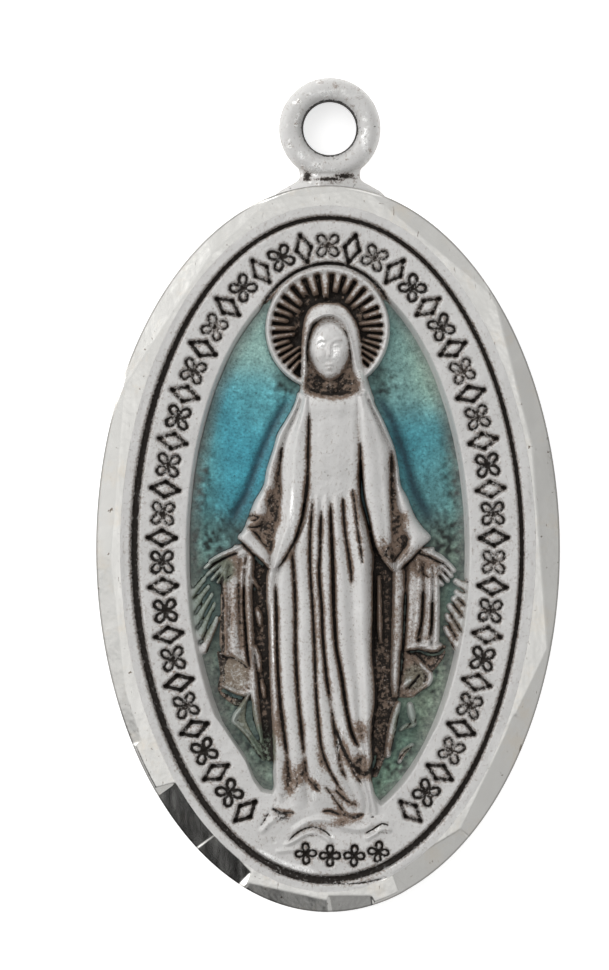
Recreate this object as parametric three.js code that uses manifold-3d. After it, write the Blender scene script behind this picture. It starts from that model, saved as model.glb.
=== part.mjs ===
// A religious medal pendant: an oval struck-silver medal with a robed figure under a halo of rays, enamel in
// the sunk field, a band of sunk ornament, a bright-cut rim and a hanging ring. It lies on its plain back with
// its face up and its ring towards +Y. Millimetres, with the origin at the middle of the back.

import * as THREE from "three";
import { mergeVertices } from "three/addons/utils/BufferGeometryUtils.js";
import Module from "manifold-3d";

const wasm = await Module();
wasm.setup();

// Oval plate, seen from the front
const medalWidth = 15;
const medalHeight = 23.5;
const rimWidth = 1.15; // of the bright-cut rim at the sides
const rimEndWidth = 0.95; // and at the top and the bottom
const ridgeWidth = 0.2; // the rounded inner edge of the rim
const grooveWidth = 0.2;
const bandWidth = 1.55;
const bandEndWidth = 1.6;
const fieldWallWidth = 0.2;
const ovalSides = 96;

// Heights of the plate
const bandHeight = 1.5;
const edgeHeight = 1;
const backBevel = 0.12;
const rimBevel = 0.2;
const ridgeRise = 0.06;
const grooveDepth = 0.3;
const fieldDepth = 0.6;

// Bright cuts: flat facets across the rim
const cutReach = 3; // how far a cutting tool reaches past the rim
const cutLength = 14;

// Ornament sunk in the band
const markHeight = 0.92;
const markWidth = 0.46;
const markPitch = 0.74;
const markDepth = 0.22;
const markStart = -122; // degrees round the oval, from the first mark
const markEnd = -58; // to the last, over the top
const footMarkSize = 0.5;
const footMarkPitch = 0.82;
const footMarks = 4;

// Figure
const figureClearance = 0.5; // from the top and the bottom of the figure's box to the field's ends
const handClearance = 0.35; // from its sides to the field's sides
const figureRelief = 1.25; // from the field's floor to the highest fold
const reliefRoot = 0.4; // how deep each raised form is rooted in the plate
const foldSteps = 2; // sections between two rows of a table

// Halo
const haloRays = 27;
const haloRadius = 2.01;
const haloRimWidth = 0.17;
const haloRimSlope = 0.07;
const haloDishRadius = 1.22; // of the sunk disc behind the head
const haloRise = 0.16; // of the halo's rim above the band
const haloRayRise = 0.03; // of its rays above the band
const haloSlotWidth = 0.15;
const haloSlotDepth = 0.22;

// Hands
const palmWidth = 1.02;
const palmLength = 0.65;
const fingerWidth = 0.22;
const rayWidth = 0.06; // of each short ray below the hands

// Hanging ring
const ringHole = 1.72;
const ringWall = 0.8;
const ringThickness = 1.1;
const ringGap = 0.22; // from the ring's outside to the top of the oval
const neckWidth = 2;
const neckFlare = 0.35;
const ringSides = 40;

// Enamel
const enamelThickness = 0.12;
const enamelGap = 0.04; // from the enamel to the silver round it and under it

const halfWidth = medalWidth / 2;
const halfHeight = medalHeight / 2;
const grooveInset = { side: rimWidth, end: rimEndWidth };
const bandInset = { side: rimWidth + grooveWidth, end: rimEndWidth + grooveWidth };
const fieldInset = { side: bandInset.side + bandWidth, end: bandInset.end + bandEndWidth };
const floorInset = { side: fieldInset.side + fieldWallWidth, end: fieldInset.end + fieldWallWidth };
const fieldFloor = bandHeight - fieldDepth;
const figureHeight = medalHeight - 2 * (fieldInset.end + figureClearance);
const figureWidth = medalWidth - 2 * (fieldInset.side + handClearance);
const ringRadius = ringHole / 2 + ringWall;
const ringCentre = halfHeight + ringGap + ringRadius;
const enamelFloor = fieldFloor + enamelGap;

// Lengths in the figure's tables. Along is in thousandths of the figure's height, from the middle of the
// field. Across is in thousandths of twice its width, so that at the real size both are the same length.
const across = (share) => (share / 1000) * 2 * figureWidth;
const along = (share) => (share / 1000) * figureHeight;
// Rise is in hundredths of the relief, above the field's floor.
const rise = (share) => fieldFloor + (share / 100) * figureRelief;

const silver = new THREE.MeshStandardMaterial({ color: "#cfccc6", metalness: 1, roughness: 0.34 });
const enamel = new THREE.MeshStandardMaterial({ color: "#3f8c9c", metalness: 0, roughness: 0.22 });

// Solids and meshes

function solidOf(geometry) {
  const bare = geometry.clone();
  bare.deleteAttribute("normal");
  bare.deleteAttribute("uv");
  const merged = mergeVertices(bare, 1e-4);
  return new wasm.Manifold(
    new wasm.Mesh({
      numProp: 3,
      vertProperties: new Float32Array(merged.attributes.position.array),
      triVerts: new Uint32Array(merged.index.array),
    }),
  );
}

function meshOf(name, solid, material) {
  const made = solid.getMesh();
  const geometry = new THREE.BufferGeometry();
  geometry.setAttribute("position", new THREE.BufferAttribute(made.vertProperties, made.numProp));
  geometry.setIndex(new THREE.BufferAttribute(made.triVerts, 1));
  geometry.computeVertexNormals();
  const mesh = new THREE.Mesh(geometry, material);
  mesh.name = name;
  return mesh;
}

const join = (solids) => solids.reduce((whole, next) => whole.add(next));

// A closed solid through rings of points, all with as many points, each in a plane that `flat` lays out.
function loft(rings, flat) {
  const sides = rings[0].length;
  const last = (rings.length - 1) * sides;
  const index = [];
  for (let ring = 0; ring < last; ring += sides) {
    for (let i = 0; i < sides; i++) {
      const next = (i + 1) % sides;
      index.push(ring + i, ring + next, ring + sides + next);
      index.push(ring + i, ring + sides + next, ring + sides + i);
    }
  }
  for (const [a, b, c] of THREE.ShapeUtils.triangulateShape(rings[0].map(flat), [])) {
    index.push(a, c, b);
  }
  for (const [a, b, c] of THREE.ShapeUtils.triangulateShape(rings.at(-1).map(flat), [])) {
    index.push(last + a, last + b, last + c);
  }
  const geometry = new THREE.BufferGeometry().setFromPoints(rings.flat());
  geometry.setIndex(index);
  return solidOf(geometry);
}

// The oval plate

function ovalPoint(inset, turn) {
  return new THREE.Vector2(
    (halfWidth - inset.side) * Math.cos(turn),
    (halfHeight - inset.end) * Math.sin(turn),
  );
}

function ovalRing(inset, height) {
  const ring = [];
  for (let i = 0; i < ovalSides; i++) {
    const place = ovalPoint(inset, (i / ovalSides) * 2 * Math.PI);
    ring.push(new THREE.Vector3(place.x, place.y, height));
  }
  return ring;
}

const fromAbove = (point) => new THREE.Vector2(point.x, point.y);
const inFrom = (inset, more) => ({ side: inset.side + more, end: inset.end + more });

function plate() {
  const edge = { side: 0, end: 0 };
  return loft(
    [
      ovalRing(inFrom(edge, backBevel), 0),
      ovalRing(edge, backBevel),
      ovalRing(edge, edgeHeight),
      ovalRing(inFrom(edge, rimBevel), edgeHeight + rimBevel),
      ovalRing(inFrom(grooveInset, -ridgeWidth), bandHeight),
      ovalRing(inFrom(grooveInset, -ridgeWidth / 2), bandHeight + ridgeRise),
      ovalRing(grooveInset, bandHeight),
      ovalRing(inFrom(grooveInset, grooveWidth / 3), bandHeight - grooveDepth),
      ovalRing(inFrom(grooveInset, (2 * grooveWidth) / 3), bandHeight - grooveDepth),
      ovalRing(bandInset, bandHeight),
      ovalRing(fieldInset, bandHeight),
      ovalRing(floorInset, fieldFloor),
    ],
    fromAbove,
  );
}

// Facets of the rim: the direction of each in degrees round the oval, how far it reaches in at its middle as
// a share of the rim's width, and how steeply it falls outwards.
const brightCuts = [
  { toward: 69, reach: 0.62, slope: 34 },
  { toward: 8, reach: 0.45, slope: 36 },
  { toward: -37, reach: 0.78, slope: 31 },
  { toward: -64, reach: 0.84, slope: 36 },
  { toward: -89, reach: 0.92, slope: 31 },
  { toward: -113, reach: 0.86, slope: 35 },
  { toward: -128, reach: 0.74, slope: 38 },
  { toward: -146, reach: 0.6, slope: 34 },
  { toward: 152, reach: 0.5, slope: 33 },
];

// The solid that a facet takes off the rim. Its underside is the facet.
function brightCut({ toward, reach, slope }) {
  const turn = THREE.MathUtils.degToRad(toward);
  const outward = new THREE.Vector2(Math.cos(turn) / halfWidth, Math.sin(turn) / halfHeight).normalize();
  const place = ovalPoint({ side: 0, end: 0 }, turn).addScaledVector(outward, -reach * rimWidth);
  const geometry = new THREE.BoxGeometry(cutLength, cutReach, cutReach);
  geometry.translate(0, cutReach / 2 - reach * rimWidth / 4, cutReach / 2);
  geometry.rotateX(-THREE.MathUtils.degToRad(slope));
  geometry.rotateZ(outward.angle() - Math.PI / 2);
  geometry.translate(place.x, place.y, bandHeight - ridgeRise / 2);
  return solidOf(geometry);
}

// Ornament sunk in the band: lozenges between round dots, and a row of stars at the foot

function markOutline(kind, wide, high) {
  if (kind === "lozenge") {
    return [
      new THREE.Vector2(wide / 2, 0),
      new THREE.Vector2(0, high / 2),
      new THREE.Vector2(-wide / 2, 0),
      new THREE.Vector2(0, -high / 2),
    ];
  }
  if (kind === "star") {
    const points = [];
    for (let i = 0; i < 8; i++) {
      const reach = i % 2 ? 0.22 : 0.5;
      const turn = (i / 8) * 2 * Math.PI;
      points.push(new THREE.Vector2(Math.cos(turn) * reach * wide, Math.sin(turn) * reach * high));
    }
    return points;
  }
  return new THREE.Path().absarc(0, 0, wide / 2, 0, 2 * Math.PI).getPoints(3).slice(0, -1);
}

function sunkMark(kind, wide, high, place, turn) {
  const shape = new THREE.Shape(markOutline(kind, wide, high));
  const geometry = new THREE.ExtrudeGeometry(shape, { depth: 2 * markDepth, bevelEnabled: false });
  geometry.rotateZ(turn);
  geometry.translate(place.x, place.y, bandHeight - markDepth);
  return solidOf(geometry);
}

// The middle line of the band, walked in equal steps from one turn to another.
function bandPlaces(from, to) {
  const middle = { side: bandInset.side + bandWidth / 2, end: bandInset.end + bandEndWidth / 2 };
  const line = new THREE.EllipseCurve(
    0,
    0,
    halfWidth - middle.side,
    halfHeight - middle.end,
    THREE.MathUtils.degToRad(from),
    THREE.MathUtils.degToRad(to),
    true,
  );
  const steps = Math.round(line.getLength() / markPitch);
  const places = [];
  for (let i = 0; i <= steps; i++) {
    const place = line.getPointAt(i / steps);
    const outward = new THREE.Vector2(
      place.x / (halfWidth - middle.side) ** 2,
      place.y / (halfHeight - middle.end) ** 2,
    );
    places.push({ place, turn: outward.angle() - Math.PI / 2 });
  }
  return places;
}

function bandMarks() {
  const marks = bandPlaces(markStart, markEnd).map(({ place, turn }, i) =>
    i % 2
      ? sunkMark("dot", markWidth, markWidth, place, turn)
      : sunkMark("lozenge", markWidth, markHeight, place, turn),
  );
  const footLine = -(halfHeight - bandInset.end - bandEndWidth / 2);
  for (let i = 0; i < footMarks; i++) {
    const place = new THREE.Vector2((i - (footMarks - 1) / 2) * footMarkPitch, footLine);
    marks.push(sunkMark("star", footMarkSize, footMarkSize, place, 0));
  }
  return marks;
}

// Raised forms

const fromTheFoot = (point) => new THREE.Vector2(point.x, point.z);

// Each column of a table becomes a curve through its rows, so that folds run on between them.
function smoothRows(rows) {
  const steps = (rows.length - 1) * foldSteps;
  const columns = rows[0].map(
    (first, i) => new THREE.CatmullRomCurve3(rows.map((row) => row[i]), false, "centripetal"),
  );
  const smooth = [];
  for (let step = 0; step <= steps; step++) {
    smooth.push(columns.map((column) => column.getPoint(step / steps)));
  }
  return smooth;
}

// A raised form from a table: each row gives how far along it lies, where each column lies across, and how
// much of the columns' rise it has. `grow` makes the outline wider all round, for what fits round the form.
function raised(table, rises, grow = 0) {
  const rows = table.map((row) =>
    row.across.map(
      (place, i) =>
        new THREE.Vector3(across(place), along(row.at), rise(Math.max(rises[i] * row.swell, 2))),
    ),
  );
  const sections = smoothRows(rows);
  sections.at(0).forEach((point) => (point.y += grow));
  sections.at(-1).forEach((point) => (point.y -= grow));
  const rings = sections.map((section) => {
    const left = section.at(0);
    const right = section.at(-1);
    left.x -= grow;
    right.x += grow;
    const root = fieldFloor - reliefRoot;
    const feet = [
      new THREE.Vector3(right.x, right.y, root),
      new THREE.Vector3(left.x, left.y, root),
    ];
    return [...section, ...feet].reverse();
  });
  return loft(rings, fromTheFoot);
}

// Skirt of the gown: edge, then crests and valleys by turns, from the picture's left to its right
const skirtRise = [12, 52, 36, 66, 42, 82, 58, 86, 64, 90, 62, 90, 78, 84, 14];
const skirt = [
  { at: 122, swell: 0.9, across: [-42, -41, -40, -38, -36, -32, -28, -20, -12, -4, 5, 16, 28, 45, 62] },
  { at: 60, swell: 0.95, across: [-52, -50, -47, -44, -42, -37, -32, -23, -14, -5, 5, 17, 30, 52, 72] },
  { at: 0, swell: 1, across: [-92, -88, -84, -76, -66, -50, -34, -24, -15, -4, 7, 21, 36, 62, 86] },
  { at: -60, swell: 1, across: [-116, -108, -98, -82, -63, -48, -33, -24, -16, -4, 9, 25, 43, 64, 86] },
  { at: -130, swell: 1, across: [-114, -105, -98, -80, -62, -45, -28, -20, -11, 0, 12, 30, 48, 66, 86] },
  { at: -200, swell: 1, across: [-112, -103, -96, -78, -62, -44, -25, -17, -8, 4, 16, 34, 52, 68, 86] },
  { at: -270, swell: 1, across: [-110, -101, -93, -74, -58, -40, -23, -12, 1, 16, 30, 44, 56, 70, 89] },
  { at: -340, swell: 0.97, across: [-106, -98, -85, -66, -50, -34, -16, -2, 14, 28, 42, 52, 60, 70, 84] },
  { at: -400, swell: 0.93, across: [-104, -97, -78, -60, -45, -27, -9, 10, 28, 46, 58, 66, 72, 78, 86] },
  { at: -455, swell: 0.88, across: [-106, -96, -74, -56, -40, -22, -5, 12, 34, 50, 64, 72, 78, 84, 92] },
  { at: -505, swell: 0.8, across: [-108, -96, -72, -54, -38, -18, 2, 20, 40, 56, 68, 76, 83, 90, 98] },
];

// Bodice, from the collar to the belt
const bodiceRise = [40, 76, 84, 80, 86, 80, 84, 74, 40];
const bodice = [
  { at: 296, swell: 0.8, across: [-40, -34, -18, -6, 10, 24, 38, 54, 64] },
  { at: 250, swell: 0.95, across: [-40, -34, -20, -6, 12, 28, 42, 56, 64] },
  { at: 190, swell: 1, across: [-40, -34, -20, -6, 12, 28, 42, 58, 66] },
  { at: 140, swell: 1, across: [-40, -34, -18, -6, 12, 26, 42, 58, 66] },
  { at: 124, swell: 1.04, across: [-40, -34, -18, -6, 12, 26, 42, 58, 66] },
  { at: 112, swell: 0.9, across: [-40, -34, -18, -6, 12, 26, 42, 58, 66] },
];

// Cloak over the arms, from the shoulder to the point of the cuff: outer edge, outer fold, the shadow inside
// the sleeve, inner fold and inner edge
const cloakRise = [16, 64, 42, 84, 58];
const leftCloak = [
  { at: 300, swell: 0.85, across: [-54, -50, -46, -42, -34] },
  { at: 245, swell: 0.95, across: [-80, -74, -64, -54, -37] },
  { at: 190, swell: 1, across: [-108, -100, -88, -66, -37] },
  { at: 140, swell: 1, across: [-120, -112, -95, -68, -39] },
  { at: 90, swell: 1, across: [-140, -127, -101, -72, -45] },
  { at: 45, swell: 1, across: [-157, -140, -108, -82, -54] },
  { at: 12, swell: 0.97, across: [-168, -148, -112, -92, -68] },
  { at: -20, swell: 0.9, across: [-132, -124, -112, -102, -86] },
  { at: -43, swell: 0.6, across: [-114, -111, -108, -106, -103] },
];
const rightCloak = [
  { at: 300, swell: 0.85, across: [66, 62, 58, 54, 50] },
  { at: 245, swell: 0.95, across: [102, 95, 84, 72, 57] },
  { at: 190, swell: 1, across: [125, 118, 108, 84, 61] },
  { at: 140, swell: 1, across: [135, 128, 119, 88, 64] },
  { at: 90, swell: 1, across: [152, 142, 121, 92, 69] },
  { at: 45, swell: 1, across: [178, 158, 122, 100, 79] },
  { at: 12, swell: 0.97, across: [190, 166, 123, 104, 87] },
  { at: -20, swell: 0.9, across: [160, 146, 122, 114, 103] },
  { at: -43, swell: 0.6, across: [130, 127, 124, 122, 119] },
];

// Ends of the cloak that hang below the hands, with their zigzag hems
const hangingRise = [14, 50, 30, 58, 34, 56, 14];
const leftHanging = [
  { at: 10, swell: 0.9, across: [-180, -174, -166, -156, -149, -142, -134] },
  { at: -24, swell: 1, across: [-204, -194, -181, -166, -156, -149, -138] },
  { at: -120, swell: 1, across: [-206, -196, -182, -166, -156, -148, -138] },
  { at: -196, swell: 1, across: [-204, -193, -178, -165, -154, -146, -136] },
  { at: -232, swell: 0.9, across: [-188, -180, -168, -158, -150, -143, -134] },
  { at: -262, swell: 1, across: [-198, -188, -170, -160, -152, -144, -132] },
  { at: -286, swell: 0.8, across: [-160, -156, -151, -146, -142, -138, -130] },
  { at: -326, swell: 0.9, across: [-180, -168, -158, -150, -142, -136, -127] },
  { at: -352, swell: 0.75, across: [-151, -147, -142, -138, -133, -129, -122] },
  { at: -404, swell: 0.5, across: [-123, -121, -119, -117, -115, -113, -110] },
];
const rightHanging = [
  { at: 4, swell: 0.9, across: [192, 186, 176, 162, 150, 138, 126] },
  { at: -26, swell: 1, across: [208, 200, 190, 176, 160, 140, 126] },
  { at: -120, swell: 1, across: [213, 205, 192, 170, 152, 136, 125] },
  { at: -190, swell: 1, across: [211, 203, 188, 165, 150, 136, 123] },
  { at: -214, swell: 0.8, across: [168, 164, 158, 150, 144, 136, 126] },
  { at: -244, swell: 1, across: [195, 186, 172, 160, 150, 140, 127] },
  { at: -284, swell: 0.8, across: [161, 157, 152, 146, 140, 132, 122] },
  { at: -330, swell: 0.9, across: [165, 160, 153, 146, 138, 130, 119] },
  { at: -376, swell: 0.75, across: [160, 155, 148, 140, 133, 125, 116] },
  { at: -406, swell: 0.5, across: [134, 132, 129, 125, 121, 117, 112] },
];

// Veil round the face: outer edge, rim, and the edge of the opening on each side
const veilRise = [30, 78, 56, 56, 78, 30];
const veil = [
  { at: 467, swell: 0.85, across: [-16, -9, -3, 3, 10, 18] },
  { at: 452, swell: 1, across: [-36, -29, -14, 16, 30, 39] },
  { at: 425, swell: 1, across: [-47, -41, -31, 34, 46, 55] },
  { at: 380, swell: 1, across: [-51, -46, -37, 42, 54, 63] },
  { at: 330, swell: 1, across: [-52, -47, -36, 45, 59, 72] },
  { at: 285, swell: 0.95, across: [-62, -52, -36, 54, 70, 86] },
];

// Collar under the neck
const collarRise = [40, 82, 60];
const collar = [
  { at: 302, swell: 0.9, across: [-42, -30, -10] },
  { at: 292, swell: 1, across: [-44, 10, 66] },
  { at: 282, swell: 0.9, across: [-30, 10, 56] },
];

// Ground under the gown, and the round of the globe below it
const groundRise = [30, 48, 54, 58, 54, 48, 30];
const ground = [
  { at: -462, swell: 0.8, across: [-110, -80, -40, 5, 50, 85, 112] },
  { at: -492, swell: 1.05, across: [-124, -90, -45, 5, 52, 92, 124] },
  { at: -520, swell: 1.05, across: [-132, -96, -48, 5, 54, 98, 134] },
  { at: -552, swell: 0.9, across: [-120, -86, -42, 5, 50, 90, 124] },
];

// Face, of a plain calm form on even proportions: brow, eyes, nose, mouth and chin from the top down
const faceTurn = { x: 3, y: 375 };
const faceRise = [46, 74, 84, 88, 84, 74, 46];
const face = [
  { at: 56, swell: 0.9, across: [-12, -8, -4, 0, 4, 8, 12] },
  { at: 40, swell: 1.05, across: [-29, -20, -9, 0, 9, 20, 29] },
  { at: 16, swell: 1.1, across: [-36, -25, -8, 0, 8, 25, 36] },
  { at: 6, swell: 1.02, across: [-37, -24, -6, 0, 6, 24, 37] },
  { at: -12, swell: 1.1, across: [-36, -23, -7, 0, 7, 23, 36] },
  { at: -30, swell: 1.03, across: [-30, -20, -8, 0, 8, 20, 30] },
  { at: -46, swell: 1, across: [-20, -14, -7, 0, 7, 14, 20] },
  { at: -58, swell: 0.8, across: [-9, -6, -3, 0, 3, 6, 9] },
];
const nose = [
  { at: 10, swell: 0.99, across: [-4, 0, 4] },
  { at: -8, swell: 1.08, across: [-5, 0, 5] },
  { at: -15, swell: 1.12, across: [-8, 0, 8] },
  { at: -18, swell: 0.96, across: [-6, 0, 6] },
];
const noseRise = [86, 100, 86];
const neck = [
  { at: 330, swell: 0.8, across: [-22, -14, 4, 22, 30] },
  { at: 305, swell: 0.9, across: [-22, -14, 4, 22, 30] },
  { at: 284, swell: 0.95, across: [-30, -20, 4, 28, 38] },
];
const neckRise = [40, 66, 74, 66, 40];

const moved = (table, by) =>
  table.map((row) => ({
    ...row,
    at: row.at + by.y,
    across: row.across.map((place) => place + by.x),
  }));

// A table for the picture's right side runs from its outer edge inwards, and is read the other way round.
const mirroredOrder = (table) => table.map((row) => ({ ...row, across: [...row.across].reverse() }));

// The forms whose outlines the enamel meets, each with its rises.
const outlined = [
  [skirt, skirtRise],
  [bodice, bodiceRise],
  [leftCloak, cloakRise],
  [mirroredOrder(rightCloak), [...cloakRise].reverse()],
  [leftHanging, hangingRise],
  [mirroredOrder(rightHanging), [...hangingRise].reverse()],
  [veil, veilRise],
  [ground, groundRise],
];

const insideOutline = [
  [moved(face, faceTurn), faceRise],
  [moved(nose, faceTurn), noseRise],
  [neck, neckRise],
  [collar, collarRise],
];

// Hands: a palm with four fingers and a thumb, held open and down

const palmRiseShare = 62;
const fingerRiseShare = 50;
const fingerStep = 2; // in rise, from each finger to the next
const thumbRiseShare = 55;
const palmTurn = 0.6;
const thumbTurn = 0.15;
const hands = [
  { x: -194, y: -18, side: -1, spread: [-50, -36, -22, -6], length: [30, 36, 37, 32] },
  { x: 202, y: -16, side: 1, spread: [-50, -36, -22, -6], length: [30, 36, 37, 32] },
];

function finger(from, turn, length, share) {
  const round = fingerWidth / 2;
  const reach = along(length);
  const shape = new THREE.Shape();
  shape.absarc(0, 0, round, 0, Math.PI);
  shape.absarc(0, -reach, round * 0.7, Math.PI, 2 * Math.PI);
  const root = fieldFloor - reliefRoot;
  const geometry = new THREE.ExtrudeGeometry(shape, {
    depth: rise(share) - root,
    bevelEnabled: false,
    curveSegments: 3,
  });
  geometry.rotateZ(turn);
  geometry.translate(across(from.x), along(from.y), root);
  return solidOf(geometry);
}

function hand({ x, y, side, spread, length }) {
  const geometry = new THREE.SphereGeometry(1, 12, 8);
  geometry.scale(palmWidth / 2, palmLength / 2, (palmRiseShare / 100) * figureRelief);
  geometry.rotateZ(-side * palmTurn);
  geometry.translate(across(x), along(y), fieldFloor);
  const fingers = spread.map((degrees, i) => {
    const root = { x: x + side * (14 - 7 * i), y: y - 4 - 2 * i };
    const turn = -side * THREE.MathUtils.degToRad(degrees);
    return finger(root, turn, length[i], fingerRiseShare - fingerStep * i);
  });
  const thumb = finger({ x: x - side * 12, y }, side * thumbTurn, length.at(-1), thumbRiseShare);
  return join([solidOf(geometry), ...fingers, thumb]);
}

// Short rays that fall from the hands to the edge of the field, drawn from their inner to their outer ends
const rayRiseShare = 32;
const rayStep = 0.5; // in rise, from each ray to the next
const handRays = [
  { from: [-208, -38], to: [-256, -74] },
  { from: [-208, -48], to: [-257, -98] },
  { from: [-206, -58], to: [-252, -124] },
  { from: [-202, -68], to: [-246, -150] },
  { from: [-196, -80], to: [-240, -178] },
  { from: [-194, -110], to: [-230, -200] },
  { from: [212, -36], to: [262, -66] },
  { from: [212, -46], to: [262, -84] },
  { from: [210, -56], to: [262, -104] },
  { from: [206, -68], to: [260, -130] },
  { from: [202, -84], to: [252, -158] },
  { from: [200, -110], to: [236, -180] },
];

function handRay({ from, to }, i) {
  const start = new THREE.Vector2(across(from[0]), along(from[1]));
  const line = new THREE.Vector2(across(to[0]), along(to[1])).sub(start);
  const top = rise(rayRiseShare - rayStep * i);
  const foot = enamelFloor + enamelThickness + enamelGap;
  const geometry = new THREE.BoxGeometry(line.length(), rayWidth, top - foot);
  geometry.translate(line.length() / 2, 0, (top + foot) / 2);
  geometry.rotateZ(line.angle());
  geometry.translate(start.x, start.y, 0);
  return solidOf(geometry);
}

// Halo: a dished disc with a raised rim, slotted between its rays

const haloPlace = { x: -1, y: 418 };
const haloSlotEnd = haloRadius - haloRimWidth - haloRimSlope;

function halo(grow = 0) {
  const top = bandHeight + haloRise;
  const profile = [
    new THREE.Vector2(0, fieldFloor - reliefRoot),
    new THREE.Vector2(haloRadius + grow, fieldFloor - reliefRoot),
    new THREE.Vector2(haloRadius + grow, bandHeight),
    new THREE.Vector2(haloRadius - haloRimSlope + grow, top),
    new THREE.Vector2(haloRadius - haloRimWidth, top),
    new THREE.Vector2(haloSlotEnd, bandHeight + haloRayRise),
    new THREE.Vector2(haloDishRadius + haloRimSlope, bandHeight + haloRayRise),
    new THREE.Vector2(haloDishRadius, bandHeight - haloSlotDepth),
    new THREE.Vector2(0, bandHeight - haloSlotDepth),
  ];
  const geometry = new THREE.LatheGeometry(profile, 2 * haloRays);
  geometry.rotateX(Math.PI / 2);
  geometry.translate(across(haloPlace.x), along(haloPlace.y), 0);
  return solidOf(geometry);
}

function haloSlots() {
  const slots = [];
  for (let i = 0; i < haloRays; i++) {
    const turn = (i / haloRays) * 2 * Math.PI;
    const inside = haloDishRadius - haloRimSlope;
    const shape = new THREE.Shape([
      new THREE.Vector2(inside, -haloSlotWidth / 3),
      new THREE.Vector2(haloSlotEnd, -haloSlotWidth / 2),
      new THREE.Vector2(haloSlotEnd, haloSlotWidth / 2),
      new THREE.Vector2(inside, haloSlotWidth / 3),
    ]);
    const geometry = new THREE.ExtrudeGeometry(shape, { depth: 2 * haloSlotDepth, bevelEnabled: false });
    geometry.rotateZ(turn);
    geometry.translate(across(haloPlace.x), along(haloPlace.y), bandHeight - haloSlotDepth);
    slots.push(solidOf(geometry));
  }
  return slots;
}

// Hanging ring, with the neck that joins it to the oval

function hangingRing() {
  const out = ringRadius;
  const inside = ringHole / 2;
  const round = ringWall * 0.28;
  const profile = [
    new THREE.Vector2(inside, round),
    new THREE.Vector2(inside + round, 0),
    new THREE.Vector2(out - round, 0),
    new THREE.Vector2(out, round),
    new THREE.Vector2(out, ringThickness - round),
    new THREE.Vector2(out - round, ringThickness),
    new THREE.Vector2(inside + round, ringThickness),
    new THREE.Vector2(inside, ringThickness - round),
    new THREE.Vector2(inside, round),
  ];
  const geometry = new THREE.LatheGeometry(profile, ringSides);
  geometry.rotateX(Math.PI / 2);
  geometry.translate(0, ringCentre, 0);
  return solidOf(geometry);
}

function ringNeck() {
  const waist = neckWidth / 2;
  const foot = waist + neckFlare;
  const low = halfHeight - ringWall;
  const high = ringCentre - ringRadius + ringWall / 2;
  const shape = new THREE.Shape();
  shape.moveTo(-foot, low);
  shape.lineTo(foot, low);
  shape.lineTo(foot, halfHeight - ringGap / 2);
  shape.quadraticCurveTo(waist, halfHeight + ringGap / 2, waist * 0.92, high);
  shape.lineTo(-waist * 0.92, high);
  shape.quadraticCurveTo(-waist, halfHeight + ringGap / 2, -foot, halfHeight - ringGap / 2);
  const geometry = new THREE.ExtrudeGeometry(shape, {
    depth: ringThickness - backBevel,
    bevelEnabled: false,
    curveSegments: 6,
  });
  geometry.translate(0, 0, backBevel / 2);
  return solidOf(geometry);
}

// The silver medal

function medal() {
  const cutPlate = plate().subtract(join(brightCuts.map(brightCut))).subtract(join(bandMarks()));
  const forms = [...outlined, ...insideOutline].map(([table, rises]) => raised(table, rises));
  return join([
    cutPlate,
    halo().subtract(join(haloSlots())),
    ...forms,
    ...hands.map(hand),
    ...handRays.map(handRay),
    hangingRing(),
    ringNeck(),
  ]);
}

// Enamel: a thin layer on the field's floor, fitted round the figure and split by it into two sides

function enamelLayer() {
  const inset = inFrom(floorInset, enamelGap);
  const layer = loft(
    [ovalRing(inset, enamelFloor), ovalRing(inset, enamelFloor + enamelThickness)],
    fromAbove,
  );
  const around = outlined.map(([table, rises]) => raised(table, rises, enamelGap));
  return layer.subtract(join([halo(enamelGap), ...around, ...hands.map(handOutline)]));
}

function handOutline(place) {
  return join(
    [-enamelGap, enamelGap].flatMap((step) => [
      hand(place).translate([step, 0, 0]),
      hand(place).translate([0, step, 0]),
    ]),
  );
}

function halfOf(layer, side) {
  const geometry = new THREE.BoxGeometry(medalWidth, medalHeight, medalHeight);
  geometry.translate((side * medalWidth) / 2, 0, 0);
  return layer.intersect(solidOf(geometry));
}

// The pendant

const pendant = new THREE.Group();
pendant.name = "medal_pendant";
const layer = enamelLayer();
pendant.add(meshOf("medal", medal(), silver));
pendant.add(meshOf("enamel_left", halfOf(layer, -1), enamel));
pendant.add(meshOf("enamel_right", halfOf(layer, 1), enamel));

export default pendant;
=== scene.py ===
import math
import bpy
import numpy as np
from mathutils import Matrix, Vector


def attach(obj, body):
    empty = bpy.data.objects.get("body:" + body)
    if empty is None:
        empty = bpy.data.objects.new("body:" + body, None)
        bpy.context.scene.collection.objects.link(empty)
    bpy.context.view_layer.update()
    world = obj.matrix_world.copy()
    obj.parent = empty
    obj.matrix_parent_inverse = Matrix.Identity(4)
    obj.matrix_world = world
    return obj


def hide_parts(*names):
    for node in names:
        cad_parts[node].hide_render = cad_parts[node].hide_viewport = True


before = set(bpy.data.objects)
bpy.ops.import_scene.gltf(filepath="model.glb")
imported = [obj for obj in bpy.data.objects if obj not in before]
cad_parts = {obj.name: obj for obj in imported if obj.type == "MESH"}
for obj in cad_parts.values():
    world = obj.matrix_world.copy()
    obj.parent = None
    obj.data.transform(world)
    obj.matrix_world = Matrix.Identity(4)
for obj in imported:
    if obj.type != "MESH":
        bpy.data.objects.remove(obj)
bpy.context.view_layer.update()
print("frame loaded")

mm = 0.001
rootBody = "root"


# The die: heights over the medal's face, on a raster. Lengths across and along are in units of 0.017 mm
# from the middle of the oval, and heights in hundredths of a millimetre above the floor of the sunk field.
unit = 0.017
heightUnit = 0.01
cell = 0.7  # of the raster, in units
reach = (452, 705)
bandLevel = 60
fieldFloor = 0.9  # millimetres above the back
nowhere = -99.0  # a height below all others

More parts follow.
